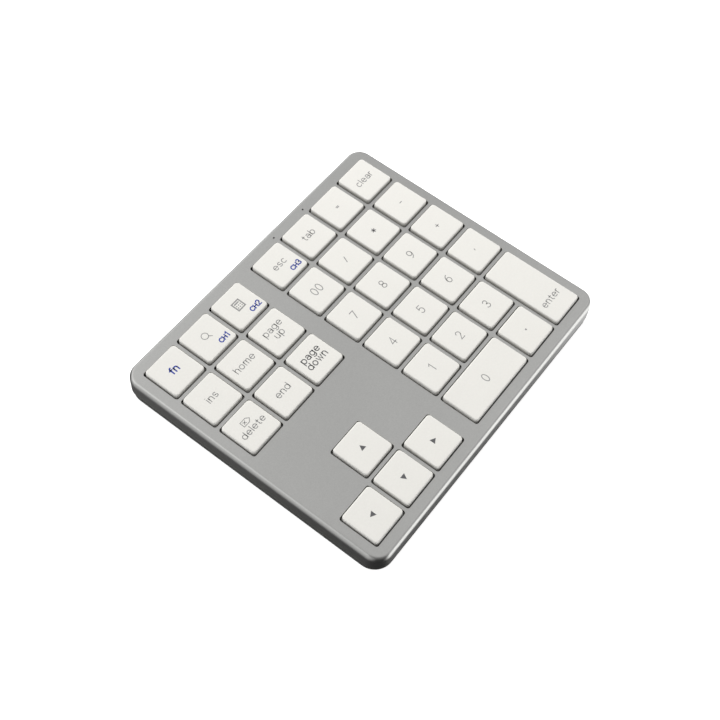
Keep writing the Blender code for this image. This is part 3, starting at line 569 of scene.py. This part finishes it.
def add_ribbon(work, points, half, z, material):
    """A flat printed stroke: a strip of even width with round ends, or a closed ring."""
    closed = (points[0] - points[-1]).length < TINY
    if closed:
        points = points[:-1]
    count = len(points)
    left, right = [], []
    for i, point in enumerate(points):
        before = points[i - 1] if closed or i else point
        after = points[(i + 1) % count] if closed or i < count - 1 else point
        into = (point - before).normalized() if point != before else (after - point).normalized()
        out = (after - point).normalized() if after != point else into
        along = (into + out).normalized()
        side = Vector((-along.y, along.x))
        spread = half / max(MITRE_LIMIT, side.dot(Vector((-into.y, into.x))))
        left.append(point + side * spread)
        right.append(point - side * spread)
    outline = []
    for centre, start in ((points[-1], right[-1]), (points[0], left[0])):
        arm = start - centre
        turns = [math.pi * k / STROKE_END_STEPS for k in range(1, STROKE_END_STEPS)]
        outline.append([centre + Matrix.Rotation(a, 2) @ arm for a in turns])
    bottom = []
    lay = {}

    def vert(point):
        key = (round(point.x * POINT_GRID), round(point.y * POINT_GRID))
        if key not in lay:
            lay[key] = work.verts.new((point.x, point.y, z))
        return lay[key]

    for i in range(count if closed else count - 1):
        j = (i + 1) % count
        bottom.append(work.faces.new([vert(p) for p in (left[i], right[i], right[j], left[j])]))
    if not closed:
        bottom.append(work.faces.new([vert(right[-1]), *map(vert, outline[0]), vert(left[-1])]))
        bottom.append(work.faces.new([vert(left[0]), *map(vert, outline[1]), vert(right[0])]))
    raise_print(work, bottom, list(lay.values()), material)


def unit_and_gap(glyph):
    return (X_HEIGHT, LETTER_GAP) if glyph in LETTERS else (DIGIT_HEIGHT, DIGIT_GAP)


def text_width(text):
    width = 0.0
    for letter in text:
        unit, gap = unit_and_gap(letter)
        width += (GLYPHS[letter][0] + gap) * unit
    return width - gap * unit


def add_text(work, text, x, y, scale=1.0, stroke=STROKE, material=GREY):
    """Text centred on x, with its baseline on y."""
    cursor = x - text_width(text) * scale / 2
    z = CAP_TOP - INK_RISE
    for letter in text:
        unit, gap = unit_and_gap(letter)
        advance, strokes = GLYPHS[letter]
        for item in strokes:
            points = [Vector((cursor, y)) + p * unit * scale for p in stroke_points(item)]
            add_ribbon(work, points, stroke / 2, z, material)
        cursor += (advance + gap) * unit * scale


def add_strokes(work, strokes, stroke=STROKE * 0.9):
    """An icon from strokes in millimetres round the key's centre."""
    for item in strokes:
        points = [p * MM for p in stroke_points(item)]
        add_ribbon(work, points, stroke / 2, CAP_TOP - INK_RISE, GREY)


def add_triangle(work, angle):
    """A solid arrow head that points along an angle."""
    corners = []
    for share in (0, 1, 2):
        turn = angle + share * 2 * math.pi / 3
        reach = ARROW_RADIUS * (ARROW_POINT if share == 0 else 1.0)
        corners.append(work.verts.new((reach * math.cos(turn), reach * math.sin(turn), CAP_TOP - INK_RISE)))
    face = work.faces.new(corners)
    raise_print(work, [face], corners, DARK)


MAGNIFIER = (("arc", -0.35, 1.1, 1.45, 1.45, 0, 360), ((0.72, 0.05), (1.75, -1.0)))
CALCULATOR = (
    ((-1.9, -1.6), (-1.9, 2.4), (1.9, 2.4), (1.9, -1.6), (-1.9, -1.6)),
    ((-1.05, 1.45), (1.05, 1.45)),
    *(((x, y), (x + 0.02, y)) for y in (0.35, -0.65) for x in (-1.05, 0.0, 1.05)),
)
FORWARD_DELETE = (
    ((-2.0, 1.6), (-2.0, 3.9), (0.9, 3.9), (2.1, 2.75), (0.9, 1.6), (-2.0, 1.6)),
    ((-1.2, 3.3), (0.0, 2.2)),
    ((-1.2, 2.2), (0.0, 3.3)),
)
LETTER_BASE = -0.95 * MM
DIGIT_BASE = -DIGIT_HEIGHT / 2
UPPER_LINE, LOWER_LINE = 0.95 * MM, -2.75 * MM
UNDER_ICON = -2.2 * MM
ENTER_SHIFT = -9.5 * MM
ARROW_RADIUS = 1.45 * MM
ARROW_POINT = 1.05  # the point reaches a little further than the other corners
SMALL = 0.66
CHANNEL_PLACE = (4.0 * MM, -6.0 * MM)
FN_WEIGHT, DARK_WEIGHT, CHANNEL_WEIGHT = 1.7, 1.15, 1.45
WORDS = {f"key_{word}": word for word in ("esc", "tab", "clear", "home", "end", "enter")}
WORDS["key_insert"] = "ins"
FIGURES = {
    "key_equals": "=",
    "key_double_zero": "00",
    "key_slash": "/",
    "key_asterisk": "*",
    "key_minus": "-",
    "key_plus": "+",
    "key_comma": ",",
    "key_period": ".",
    **{f"key_{digit}": digit for digit in "0123456789"},
}
FIGURE_SCALE = {"=": 0.62, "/": 0.72, "*": 0.95, "-": 0.62, "+": 0.72, ",": 0.95, ".": 1.0}
FIGURE_WEIGHT = {".": 2.1, "*": 1.4}
ARROWS = {"key_right": 0, "key_up": 90, "key_left": 180, "key_down": 270}
CHANNELS = {"key_search": "CH1", "key_calculator": "CH2", "key_esc": "CH3"}


def legend_mesh(node):
    """The printing on one key, round the key's own centre."""
    work = bmesh.new()
    if node in WORDS:
        shift = ENTER_SHIFT if node == "key_enter" else 0.0
        add_text(work, WORDS[node], 0, LETTER_BASE + shift)
    elif node in FIGURES:
        figure = FIGURES[node]
        scale = FIGURE_SCALE.get(figure, 1.0)
        weight = STROKE * FIGURE_WEIGHT.get(figure, 1.0)
        add_text(work, figure, 0, DIGIT_BASE * scale, scale, weight)
    elif node in ARROWS:
        add_triangle(work, math.radians(ARROWS[node]))
    elif node == "key_fn":
        add_text(work, "fn", 0, LETTER_BASE, 1.0, STROKE * FN_WEIGHT, BLUE)
    elif node == "key_search":
        add_strokes(work, MAGNIFIER)
    elif node == "key_calculator":
        add_strokes(work, CALCULATOR, STROKE * 1.6)
    elif node == "key_page_up":
        add_text(work, "page", 0, UPPER_LINE)
        add_text(work, "up", 0, LOWER_LINE)
    elif node == "key_page_down":
        add_text(work, "page", 0, UPPER_LINE, 1.0, STROKE * DARK_WEIGHT, DARK)
        add_text(work, "down", 0, LOWER_LINE, 1.0, STROKE * DARK_WEIGHT, DARK)
    elif node == "key_delete":
        add_strokes(work, FORWARD_DELETE, STROKE * 0.8)
        add_text(work, "delete", 0, UNDER_ICON, 0.95)
    if node in CHANNELS:
        add_text(work, CHANNELS[node], *CHANNEL_PLACE, SMALL, STROKE * CHANNEL_WEIGHT, BLUE)
    return to_mesh(node.replace("key_", "legend_"), work)


def make_keys(materials):
    shapes = {}
    for node in KEY_NODES:
        centre, size = middle(node), size_of(node)
        kind = (round(size.x, 5), round(size.y, 5))
        if kind not in shapes:
            shapes[kind] = keycap_mesh("keycap", size.x, size.y)
            shapes[kind].materials.append(materials["keycap"])
            smooth(shapes[kind], 35)
        cap = link(node.replace("key_", "keycap_"), shapes[kind], (), sharp=0)
        cap.location = (centre.x, centre.y, 0)
        finish_piece(cap, node, node)
        inks = [materials[f"{name}_ink"] for name in INKS]
        legend = link(node.replace("key_", "legend_"), legend_mesh(node), inks, sharp=0)
        legend.location = (centre.x, centre.y, 0)
        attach(legend, node)


# ---------- case

CASE_SIZE = size_of("top_case")
CASE_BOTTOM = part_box("top_case")[0].z
CASE_CORNER = 6.6 * MM
COVER_CORNER = 8.0 * MM
CASE_EDGE = 1.5 * MM  # how far in the rounded upper edge starts
CASE_SHOULDER = 3.0 * MM  # how far down it ends
CASE_RIM = 0.12 * MM  # the small chamfer of the lower edge
INNER_EDGE = 0.6 * MM
EDGE_STEPS = 12
CASE_WALL = 1.3 * MM
KEY_GAP = 0.4 * MM
OPENING_EDGE = 0.1 * MM
OPENING_CORNER = 1.0 * MM
OPENING_STEPS = 7
PIN_HOLE_RADIUS = 0.4 * MM
SOCKET_GAP = 0.55 * MM
SOCKET_FLARE = 1.7 * MM
SOCKET_FLARE_START = -0.35 * MM  # from the back face
SWITCH_GAP = 0.3 * MM
SWITCH_SLOT_HALF = 0.7 * MM
CORNER_STEPS = 16
BACK_Y = CASE_SIZE.y / 2


def case_ring(inset, z, corner=CASE_CORNER):
    return ring(CASE_SIZE.x - 2 * inset, CASE_SIZE.y - 2 * inset, corner - inset, z, CORNER_STEPS)


def cover_ring(inset, z):
    return case_ring(inset, z, COVER_CORNER)


def corner_nodes(kind):
    return [node for node in frame["nodes"] if node.startswith(f"{kind}_")]


def make_top_case(materials):
    """The aluminium shell, with its upper edge rounded over."""
    work = bmesh.new()
    rings = [
        case_ring(CASE_WALL + INNER_EDGE, DECK_Z - CASE_WALL),
        case_ring(CASE_WALL, DECK_Z - CASE_WALL - INNER_EDGE),
        case_ring(CASE_WALL, CASE_BOTTOM),
        case_ring(CASE_RIM, CASE_BOTTOM),
        case_ring(0, CASE_BOTTOM + CASE_RIM),
    ]
    for angle in quarter(EDGE_STEPS):
        inset, drop = CASE_EDGE * (1 - math.cos(angle)), CASE_SHOULDER * (1 - math.sin(angle))
        rings.append(case_ring(inset, DECK_Z - drop))
    rings.append(case_ring(CASE_EDGE + 0.5 * MM, DECK_Z))
    loft(work, rings)
    case = link("aluminium_case", to_mesh("aluminium_case", work), [materials["aluminium"]], sharp=0)

    openings = bmesh.new()
    for node in KEY_NODES:
        centre, size = middle(node), size_of(node)
        width, depth = size.x + 2 * KEY_GAP, size.y + 2 * KEY_GAP
        corner, steps, edge_z = OPENING_CORNER, OPENING_STEPS, DECK_Z - OPENING_EDGE
        place = (centre.x, centre.y)
        loft(
            openings,
            [
                ring(width, depth, corner, DECK_Z - CASE_WALL - MM, steps, place),
                ring(width, depth, corner, edge_z, steps, place),
                ring(width + MM, depth + MM, corner + MM / 2, edge_z + MM / 2, steps, place),
            ],
        )
    for node in corner_nodes("light_pipe"):
        centre = middle(node)
        low, high = DECK_Z - CASE_WALL - MM, DECK_Z + MM
        profile = ((0, low), (PIN_HOLE_RADIUS, low), (PIN_HOLE_RADIUS, high), (0, high))
        add_turned(openings, profile, 20, centre.xy)
    boolean(case, openings)

    holes = bmesh.new()
    socket = middle("usb_socket")
    socket_size = size_of("usb_socket")
    flare_y = BACK_Y + SOCKET_FLARE_START
    rings = [
        side_ring(socket, socket_size, SOCKET_GAP, BACK_Y - 2 * CASE_WALL),
        side_ring(socket, socket_size, SOCKET_GAP, flare_y),
        side_ring(socket, socket_size, SOCKET_GAP + SOCKET_FLARE, flare_y + SOCKET_FLARE / 2),
    ]
    loft(holes, rings)
    knob = middle("power_switch")
    knob_low, knob_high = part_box("power_switch")
    gap, half = SWITCH_GAP, SWITCH_SLOT_HALF
    add_box(
        holes,
        (knob_low.x - gap, BACK_Y - 2 * CASE_WALL, knob.z - half - gap),
        (knob_high.x + switch_travel() + gap, BACK_Y + MM, knob.z + half + gap),
    )
    boolean(case, holes)
    smooth(case.data, 30)
    flatten_faces(case)
    finish_piece(case, "case", "top_case")


def switch_travel():
    return next(j["range_m"][1] for j in frame["joints"] if j["name"] == "power_switch_slide")


def side_ring(centre, size, grow, y):
    """The charging socket's outline, standing upright at y."""
    width, height = size.x + grow, size.z + grow
    flat = ring(width, height, 0.46 * height, 0, 8)
    return [(centre.x - px, y, centre.z + py) for px, py, _ in flat]


COVER_SIDE = 2.5 * MM
COVER_GAP = 0.3 * MM  # under the case's wall
COVER_FLOOR, LIP_HEIGHT = 1.6 * MM, 3.7 * MM  # above the cover's underside
LIP_GAP = 1.7 * MM
COVER_INSET = 0.1 * MM
COVER_EDGE = 0.8 * MM
COVER_EDGE_STEPS = 7
SCREW_POST = (1.15 * MM, 1.9 * MM)  # inner and outer radius


def make_bottom_cover(materials):
    """A dark tray with a lip inside the case's wall, recesses for the feet and posts for the screws."""
    cover_low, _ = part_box("bottom_cover")
    side_top = CASE_BOTTOM - COVER_GAP
    inset, edge = COVER_INSET, COVER_EDGE
    floor = cover_low.z + COVER_FLOOR
    work = bmesh.new()
    lip_top = cover_low.z + LIP_HEIGHT
    rings = [
        case_ring(COVER_SIDE + 0.5 * MM, floor),
        case_ring(COVER_SIDE, floor + 0.5 * MM),
        case_ring(COVER_SIDE, lip_top),
        case_ring(LIP_GAP, lip_top),
        case_ring(LIP_GAP - 0.1 * MM, side_top),
        cover_ring(inset + 0.15 * MM, side_top),
        cover_ring(inset, side_top - 0.15 * MM),
    ]
    for angle in quarter(COVER_EDGE_STEPS):
        offset = inset + edge * (1 - math.cos(angle))
        rings.append(cover_ring(offset, cover_low.z + edge - edge * math.sin(angle)))
    rings.append(cover_ring(inset + edge + 1.0 * MM, cover_low.z))
    loft(work, rings)
    cover = link("cover_plastic", to_mesh("cover_plastic", work), [materials["cover"]], sharp=0)
    recesses = bmesh.new()
    for node in corner_nodes("foot"):
        centre, radius = middle(node), size_of(node).x / 2 + 0.2 * MM
        top, below = cover_low.z + 0.7 * MM, cover_low.z - MM
        profile = (
            (0, below),
            (radius + 1.2 * MM, below),
            (radius, cover_low.z + 0.2 * MM),
            (radius, top),
            (0, top),
        )
        add_turned(recesses, profile, 64, centre.xy)
    for node in corner_nodes("screw"):
        centre = middle(node)
        below, seat = cover_low.z - MM, cover_low.z + 1.3 * MM
        wide, narrow = 1.9 * MM, 1.1 * MM
        top = lip_top + MM
        profile = (
            (0, below),
            (wide + 1.15 * MM, below),
            (wide, cover_low.z + 0.15 * MM),
            (wide, seat),
            (narrow, seat),
            (narrow, top),
            (0, top),
        )
        add_turned(recesses, profile, 32, centre.xy)
    boolean(cover, recesses)
    posts = bmesh.new()
    inner, outer = SCREW_POST
    low = floor - 0.4 * MM
    for node in corner_nodes("screw"):
        profile = ((inner, low), (outer, low), (outer, lip_top), (inner, lip_top), (inner, low))
        add_turned(posts, profile, 32, middle(node).xy)
    merge_into(cover, posts)
    notches = bmesh.new()
    for node in ("usb_socket", "switch_body"):
        low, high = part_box(node)
        add_box(notches, (low.x - MM, BACK_Y - 3 * MM, side_top), (high.x + MM, BACK_Y - MM, DECK_Z))
    boolean(cover, notches)
    smooth(cover.data, 32)
    flatten_faces(cover)
    finish_piece(cover, "case", "bottom_cover")


def merge_into(obj, work):
    """Adds a bmesh's bodies to an object's mesh as they are."""
    joined = bmesh.new()
    joined.from_mesh(obj.data)
    extra = to_mesh("extra", work)
    joined.from_mesh(extra)
    joined.to_mesh(obj.data)
    joined.free()
    bpy.data.meshes.remove(extra)


FOOT_DISH = 0.12 * MM
FOOT_EDGE = 0.35 * MM
FOOT_EDGE_STEPS = 5


def make_feet(materials):
    """Round rubber feet with a soft edge and a shallow dish."""
    for node in corner_nodes("foot"):
        low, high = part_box(node)
        radius = (high.x - low.x) / 2
        profile = [(0, FOOT_DISH), (radius * 0.62, FOOT_DISH), (radius * 0.70, 0)]
        soft = FOOT_EDGE
        for angle in quarter(FOOT_EDGE_STEPS):
            profile.append((radius - soft + soft * math.sin(angle), soft - soft * math.cos(angle)))
        profile += [(radius, high.z), (0, high.z)]
        work = bmesh.new()
        add_turned(work, profile, 64)
        foot = link(node.replace("foot", "rubber_foot"), to_mesh(node, work), [materials["rubber"]])
        foot.location = (*middle(node).xy, 0)
        finish_piece(foot, "case", node)


CROSS_HALF = 0.17 * MM  # of the width of an arm
SCREW_HEAD, SCREW_SHANK = 1.55 * MM, 0.8 * MM
SCREW_HEAD_HEIGHT = 0.9 * MM
THREAD_PITCH = 0.45 * MM
THREAD_CORE = 0.78  # of the shank's radius


def cross_ring(reach, z):
    """The outline of a cross with arms as long as reach."""
    half = CROSS_HALF
    points = []
    for turn in range(4):
        for x, y in ((half, half), (reach, half), (reach, -half)):
            points.append(Matrix.Rotation(-math.pi / 2 * turn, 2) @ Vector((x, y)))
    return [(p.x, p.y, z) for p in points]


def make_screws(materials):
    """Small machine screws with a straight-sided head, a cross recess and a thread of plain rings."""
    for node in corner_nodes("screw"):
        low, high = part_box(node)
        head, shank, tip = SCREW_HEAD, SCREW_SHANK, high.z
        neck = low.z + SCREW_HEAD_HEIGHT
        profile = [
            (0, low.z),
            (head - 0.25 * MM, low.z),
            (head, low.z + 0.2 * MM),
            (head, neck),
            (shank, neck + 0.05 * MM),
        ]
        z = neck + 0.4 * MM
        while z < tip - 0.9 * MM:
            profile += [(shank, z), (shank * THREAD_CORE, z + THREAD_PITCH / 2)]
            z += THREAD_PITCH
        profile += [(shank * 0.7, tip - 0.4 * MM), (shank * 0.3, tip), (0, tip)]
        work = bmesh.new()
        add_turned(work, profile, 32)
        screw = link(node.replace("screw", "cross_screw"), to_mesh(node, work), [materials["screw"]])
        recess = bmesh.new()
        loft(recess, [cross_ring(0.95 * MM, low.z - 0.1 * MM), cross_ring(0.55 * MM, low.z + 0.55 * MM)])
        boolean(screw, recess)
        smooth(screw.data, 35)
        screw.location = (*middle(node).xy, 0)
        finish_piece(screw, "case", node)


# ---------- back edge


SHELL_WALL = 0.3 * MM
TONGUE_HALF, TONGUE_THICK = 3.35 * MM, 0.35 * MM  # half its width and half its thickness
CONTACTS = 12  # on each side of the tongue
CONTACT_PITCH = 0.5 * MM
RIBS = 5
RIB_PITCH = 0.5 * MM


def make_socket(materials):
    """Drawn shell with a rolled mouth (slot 0), contact tongue (slot 1) and gold contacts (slot 2)."""
    low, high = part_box("usb_socket")
    centre, size = middle("usb_socket"), size_of("usb_socket")
    wall = SHELL_WALL
    mouth, back = high.y, low.y
    work = bmesh.new()
    rings = [
        side_ring(centre, size, -2 * wall, back + wall),
        side_ring(centre, size, -2 * wall, mouth - 0.15 * MM),
        side_ring(centre, size, -1.4 * wall, mouth),
        side_ring(centre, size, -0.6 * wall, mouth),
        side_ring(centre, size, 0, mouth - 0.15 * MM),
        side_ring(centre, size, 0, back + 0.2 * MM),
        side_ring(centre, size, -0.3 * MM, back),
    ]
    loft(work, rings)
    half, thick = TONGUE_HALF, TONGUE_THICK
    end = mouth - 1.0 * MM
    add_box(
        work,
        (centre.x - half, back + wall / 2, centre.z - thick),
        (centre.x + half, end, centre.z + thick),
        material=1,
    )
    for side in (-1, 1):
        for place in range(CONTACTS):
            x = centre.x + (place - (CONTACTS - 1) / 2) * CONTACT_PITCH
            z = centre.z + side * thick
            add_box(
                work,
                (x - 0.13 * MM, back + 1.5 * MM, z - 0.03 * MM),
                (x + 0.13 * MM, end - 0.4 * MM, z + 0.03 * MM),
                material=2,
            )
    names = ("socket", "tongue", "contact")
    socket = link("charging_socket", to_mesh("charging_socket", work), [materials[n] for n in names])
    finish_piece(socket, "case", "usb_socket")


def make_switch_knob(materials):
    """A ribbed slider whose stalk reaches into the switch on the board."""
    low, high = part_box("power_switch")
    centre = middle("power_switch")
    cap_back = high.y - 1.4 * MM
    work = bmesh.new()
    soft = 0.12 * MM

    def face_ring(inset, y):
        flat = ring(high.x - low.x - 2 * inset, high.z - low.z - 2 * inset, 0.25 * MM, 0, 5)
        return [(centre.x - px, y, centre.z + py) for px, py, _ in flat]

    face_y = high.y - 0.3 * MM
    loft(work, [face_ring(0, cap_back), face_ring(0, face_y - soft), face_ring(soft, face_y)])
    for place in range(RIBS):
        x = centre.x + (place - (RIBS - 1) / 2) * RIB_PITCH
        add_box(
            work,
            (x - 0.12 * MM, high.y - 0.5 * MM, low.z + 0.2 * MM),
            (x + 0.12 * MM, high.y, high.z - 0.2 * MM),
        )
    add_box(
        work,
        (centre.x - 0.5 * MM, low.y, centre.z - 0.3 * MM),
        (centre.x + 0.5 * MM, cap_back + 0.1 * MM, centre.z + 0.3 * MM),
    )
    knob = link("switch_slider", to_mesh("switch_slider", work), [materials["switch"]])
    finish_piece(knob, "power_switch", "power_switch")


# ---------- under the keys

DOME_HOLE = 3.3 * MM
LINK_LENGTH = 11.0 * MM
LINK_BAR = 0.9 * MM
LINK_FOOT = PLATE_TOP + 1.9 * MM
LINK_HEAD = CAP_TOP - KEY_ROOF - 0.7 * MM
# (name, half the distance between a link's long sides, which way it leans)
LINKS = (("outer", 5.6 * MM, 1), ("inner", 4.5 * MM, -1))


def link_frame(work, half_width, lean):
    """One scissor link: a four-sided frame that leans about its middle pin."""
    half = LINK_LENGTH / 2
    bar = LINK_BAR / 2
    turn = Matrix.Translation((0, 0, (LINK_FOOT + LINK_HEAD) / 2)) @ Matrix.Rotation(lean, 4, "Y")
    for sign in (-1, 1):
        y = sign * half_width
        add_box(work, (-half, y - bar, -bar), (half, y + bar, bar), turn=turn)
        x = sign * (half - bar)
        add_box(work, (x - bar, -half_width - bar, -bar), (x + bar, half_width + bar, bar), turn=turn)


def make_scissors(materials):
    """Two crossed links under each key, carried by the case."""
    rise = LINK_HEAD - LINK_FOOT - LINK_BAR
    lean = math.asin(rise / LINK_LENGTH)
    for node in KEY_NODES:
        name = node.removeprefix("key_")
        centre = middle(node)
        for kind, half_width, sign in LINKS:
            work = bmesh.new()
            link_frame(work, half_width, sign * lean)
            mesh = to_mesh(f"scissor_{kind}", work)
            if size_of(node).y > size_of(node).x:
                mesh.transform(QUARTER_TURN)
            piece = link(f"scissor_{kind}_{name}", mesh, [materials["nylon"]], sharp=30)
            piece.location = (centre.x, centre.y, 0)
            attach(piece, "case")
            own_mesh(piece)


def make_domes(materials):
    """A smooth silicone dome on the sheet under each key, carried by the case."""
    low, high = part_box("dome_sheet")
    sheet_top = low.z + 0.3 * MM
    top = high.z - 0.05 * MM
    profile = [
        (0, top - 0.7 * MM),
        (0.9 * MM, top - 0.7 * MM),
        (1.2 * MM, top - 1.1 * MM),
        (2.5 * MM, sheet_top + 0.5 * MM),
        (2.6 * MM, sheet_top),
        (3.4 * MM, sheet_top),
        (3.15 * MM, sheet_top + 0.6 * MM),
        (2.0 * MM, top - 1.0 * MM),
        (1.7 * MM, top - 0.3 * MM),
        (1.3 * MM, top),
        (0, top - 0.1 * MM),
    ]
    for node in KEY_NODES:
        name = node.removeprefix("key_")
        work = bmesh.new()
        add_turned(work, profile, 32)
        dome = link(f"dome_{name}", to_mesh("dome", work), [materials["silicone"]], sharp=60)
        centre = middle(node)
        dome.location = (centre.x, centre.y, 0)
        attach(dome, "case")
        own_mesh(dome)


def make_dome_sheet(materials):
    """The moulded sheet, with a round hole under each dome because the domes are pieces of their own."""
    packed = frame["nodes"]["dome_sheet"]
    low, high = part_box("dome_sheet")
    work = bmesh.new()
    work.from_mesh(packed.data)
    bmesh.ops.transform(work, matrix=packed.matrix_world, verts=work.verts)
    sheet = link("silicone_sheet", to_mesh("silicone_sheet", work), [materials["silicone"]], sharp=0)
    holes = bmesh.new()
    for node in KEY_NODES:
        profile = [(0, low.z - MM), (DOME_HOLE, low.z - MM), (DOME_HOLE, high.z + MM), (0, high.z + MM)]
        add_turned(holes, profile, 32, middle(node).xy)
    boolean(sheet, holes)
    finish_piece(sheet, "case", "dome_sheet")


CARRIED = {
    "support_plate": "steel",
    "membrane": "film",
    "circuit_board": "board",
    "switch_body": "steel",
    "light_pipe_left": "clear",
    "light_pipe_right": "clear",
    "battery": "foil",
    "battery_connector": "cream",
    "battery_wire_positive": "red",
    "battery_wire_negative": "black",
    "stabiliser_zero": "steel",
    "stabiliser_enter": "steel",
}


def finish_carried(materials):
    """CAD nodes whose shape stays get their finished materials."""
    for node, name in CARRIED.items():
        mesh = frame["nodes"][node].data
        mesh.materials.clear()
        mesh.materials.append(materials[name])


# ---------- studio

FLOOR_REACH = 6.0
FLOOR_CORNER, FLOOR_STEPS = 1.0, 8
FLOOR_SWEEP = ((1.0, 0.0), (1.15, 0.2), (1.2, 1.0))  # reach as a share, and height
FLOOR_LIFT = 0.74  # the floor's own light, which keeps its shadows pale
KEY_LIGHT = 6.8
KEY_LIGHT_PLACE = (0.58, 0.52, 0.80)
KEY_LIGHT_SIZE = (0.4, 0.4)
KEY_LIGHT_COLOUR = (1.0, 0.985, 0.95)
# The studio's brightness goes from dark to light along a direction. A glow is its direction, its level
# and the half widths in degrees where it starts and where it is full.
DARK_LEVEL = 0.035
LIGHT_LEVEL = 0.56
TOWARDS_LIGHT = (0.52, 0.20, 0.83)
LIGHT_SPAN = (0.0, 0.95)
GLOWS = (
    ((0.16, 0.66, 0.73), 0.40, 30, 0),
    ((0.52, -0.05, 0.86), 0.30, 18, 0),
    ((-0.93, 0.36, 0.05), 0.62, 62, 10),
    ((-0.55, 0.68, 0.48), 0.65, 45, 10),
    ((-0.30, 0.75, -0.60), 0.06, 50, 10),
    ((0.43, 0.90, 0.10), 0.50, 40, 0),
    ((0.47, -0.78, -0.41), 1.45, 38, 12),
    ((0.50, -0.85, 0.25), 0.30, 40, 5),
    ((0.85, -0.12, -0.50), 2.00, 30, 14),
    ((-0.30, -0.75, 0.55), 0.16, 50, 20),
)


def make_floor():
    """A flat floor that sweeps up far from the object, so that no view looks past it."""
    work = bmesh.new()
    widths = [(2 * share * FLOOR_REACH, z) for share, z in FLOOR_SWEEP]
    loft(work, [ring(w, w, FLOOR_CORNER, z, FLOOR_STEPS) for w, z in widths], close_last=False)
    surface = Surface("pale_floor", (0.93, 0.93, 0.93), 0.9, specular=0.0).shade(0.3, 0.004)
    surface.shader.inputs["Emission Color"].default_value = (1, 1, 1, 1)
    surface.shader.inputs["Emission Strength"].default_value = FLOOR_LIFT
    floor = link("floor", to_mesh("floor", work), [surface.made], sharp=0)
    floor.visible_glossy = False


def make_world():
    """A soft studio that is dark on the near side, with a few broad glows above and below the horizon."""
    world = bpy.data.worlds.new("studio")
    scene.world = world
    world.use_nodes = True
    nodes, links = world.node_tree.nodes, world.node_tree.links
    background = nodes["Background"]
    where = nodes.new("ShaderNodeTexCoord").outputs["Generated"]

    def ramp(direction, start, end, low, high):
        """Goes from low to high as the direction's component goes from start to end."""
        dot = nodes.new("ShaderNodeVectorMath")
        dot.operation = "DOT_PRODUCT"
        dot.inputs[1].default_value = Vector(direction).normalized()
        links.new(where, dot.inputs[0])
        node = nodes.new("ShaderNodeMapRange")
        node.interpolation_type = "SMOOTHSTEP"
        for socket, value in zip(("From Min", "From Max", "To Min", "To Max"), (start, end, low, high)):
            node.inputs[socket].default_value = value
        links.new(dot.outputs["Value"], node.inputs["Value"])
        return node.outputs["Result"]

    def maths(operation, first, second):
        node = nodes.new("ShaderNodeMath")
        node.operation = operation
        for socket, value in zip(node.inputs, (first, second)):
            if isinstance(value, (int, float)):
                socket.default_value = value
            else:
                links.new(value, socket)
        return node.outputs[0]

    total = ramp(TOWARDS_LIGHT, *LIGHT_SPAN, DARK_LEVEL, LIGHT_LEVEL)
    for direction, level, outer, inner in GLOWS:
        span = (math.cos(math.radians(width)) for width in (outer, inner))
        total = maths("ADD", total, ramp(direction, *span, 0.0, level))
    links.new(total, background.inputs["Strength"])
    background.inputs["Color"].default_value = (1, 1, 1, 1)


def make_key_light():
    """One soft light aimed at the origin. It is left out of reflections."""
    data = bpy.data.lights.new("key_light", "AREA")
    data.shape = "RECTANGLE"
    data.size, data.size_y = KEY_LIGHT_SIZE
    data.energy = KEY_LIGHT
    data.color = KEY_LIGHT_COLOUR
    light = bpy.data.objects.new("key_light", data)
    scene.collection.objects.link(light)
    light.location = KEY_LIGHT_PLACE
    light.rotation_mode = "QUATERNION"
    light.rotation_quaternion = (-Vector(KEY_LIGHT_PLACE)).to_track_quat("-Z", "Y")
    light.visible_glossy = False


# ---------- build

make_camera()
materials = make_materials()
make_top_case(materials)
make_bottom_cover(materials)
make_keys(materials)
make_feet(materials)
make_screws(materials)
make_socket(materials)
make_switch_knob(materials)
make_scissors(materials)
make_domes(materials)
make_dome_sheet(materials)
finish_carried(materials)
make_floor()
make_world()
make_key_light()
scene.view_settings.view_transform = "Standard"
scene.view_settings.look = "None"
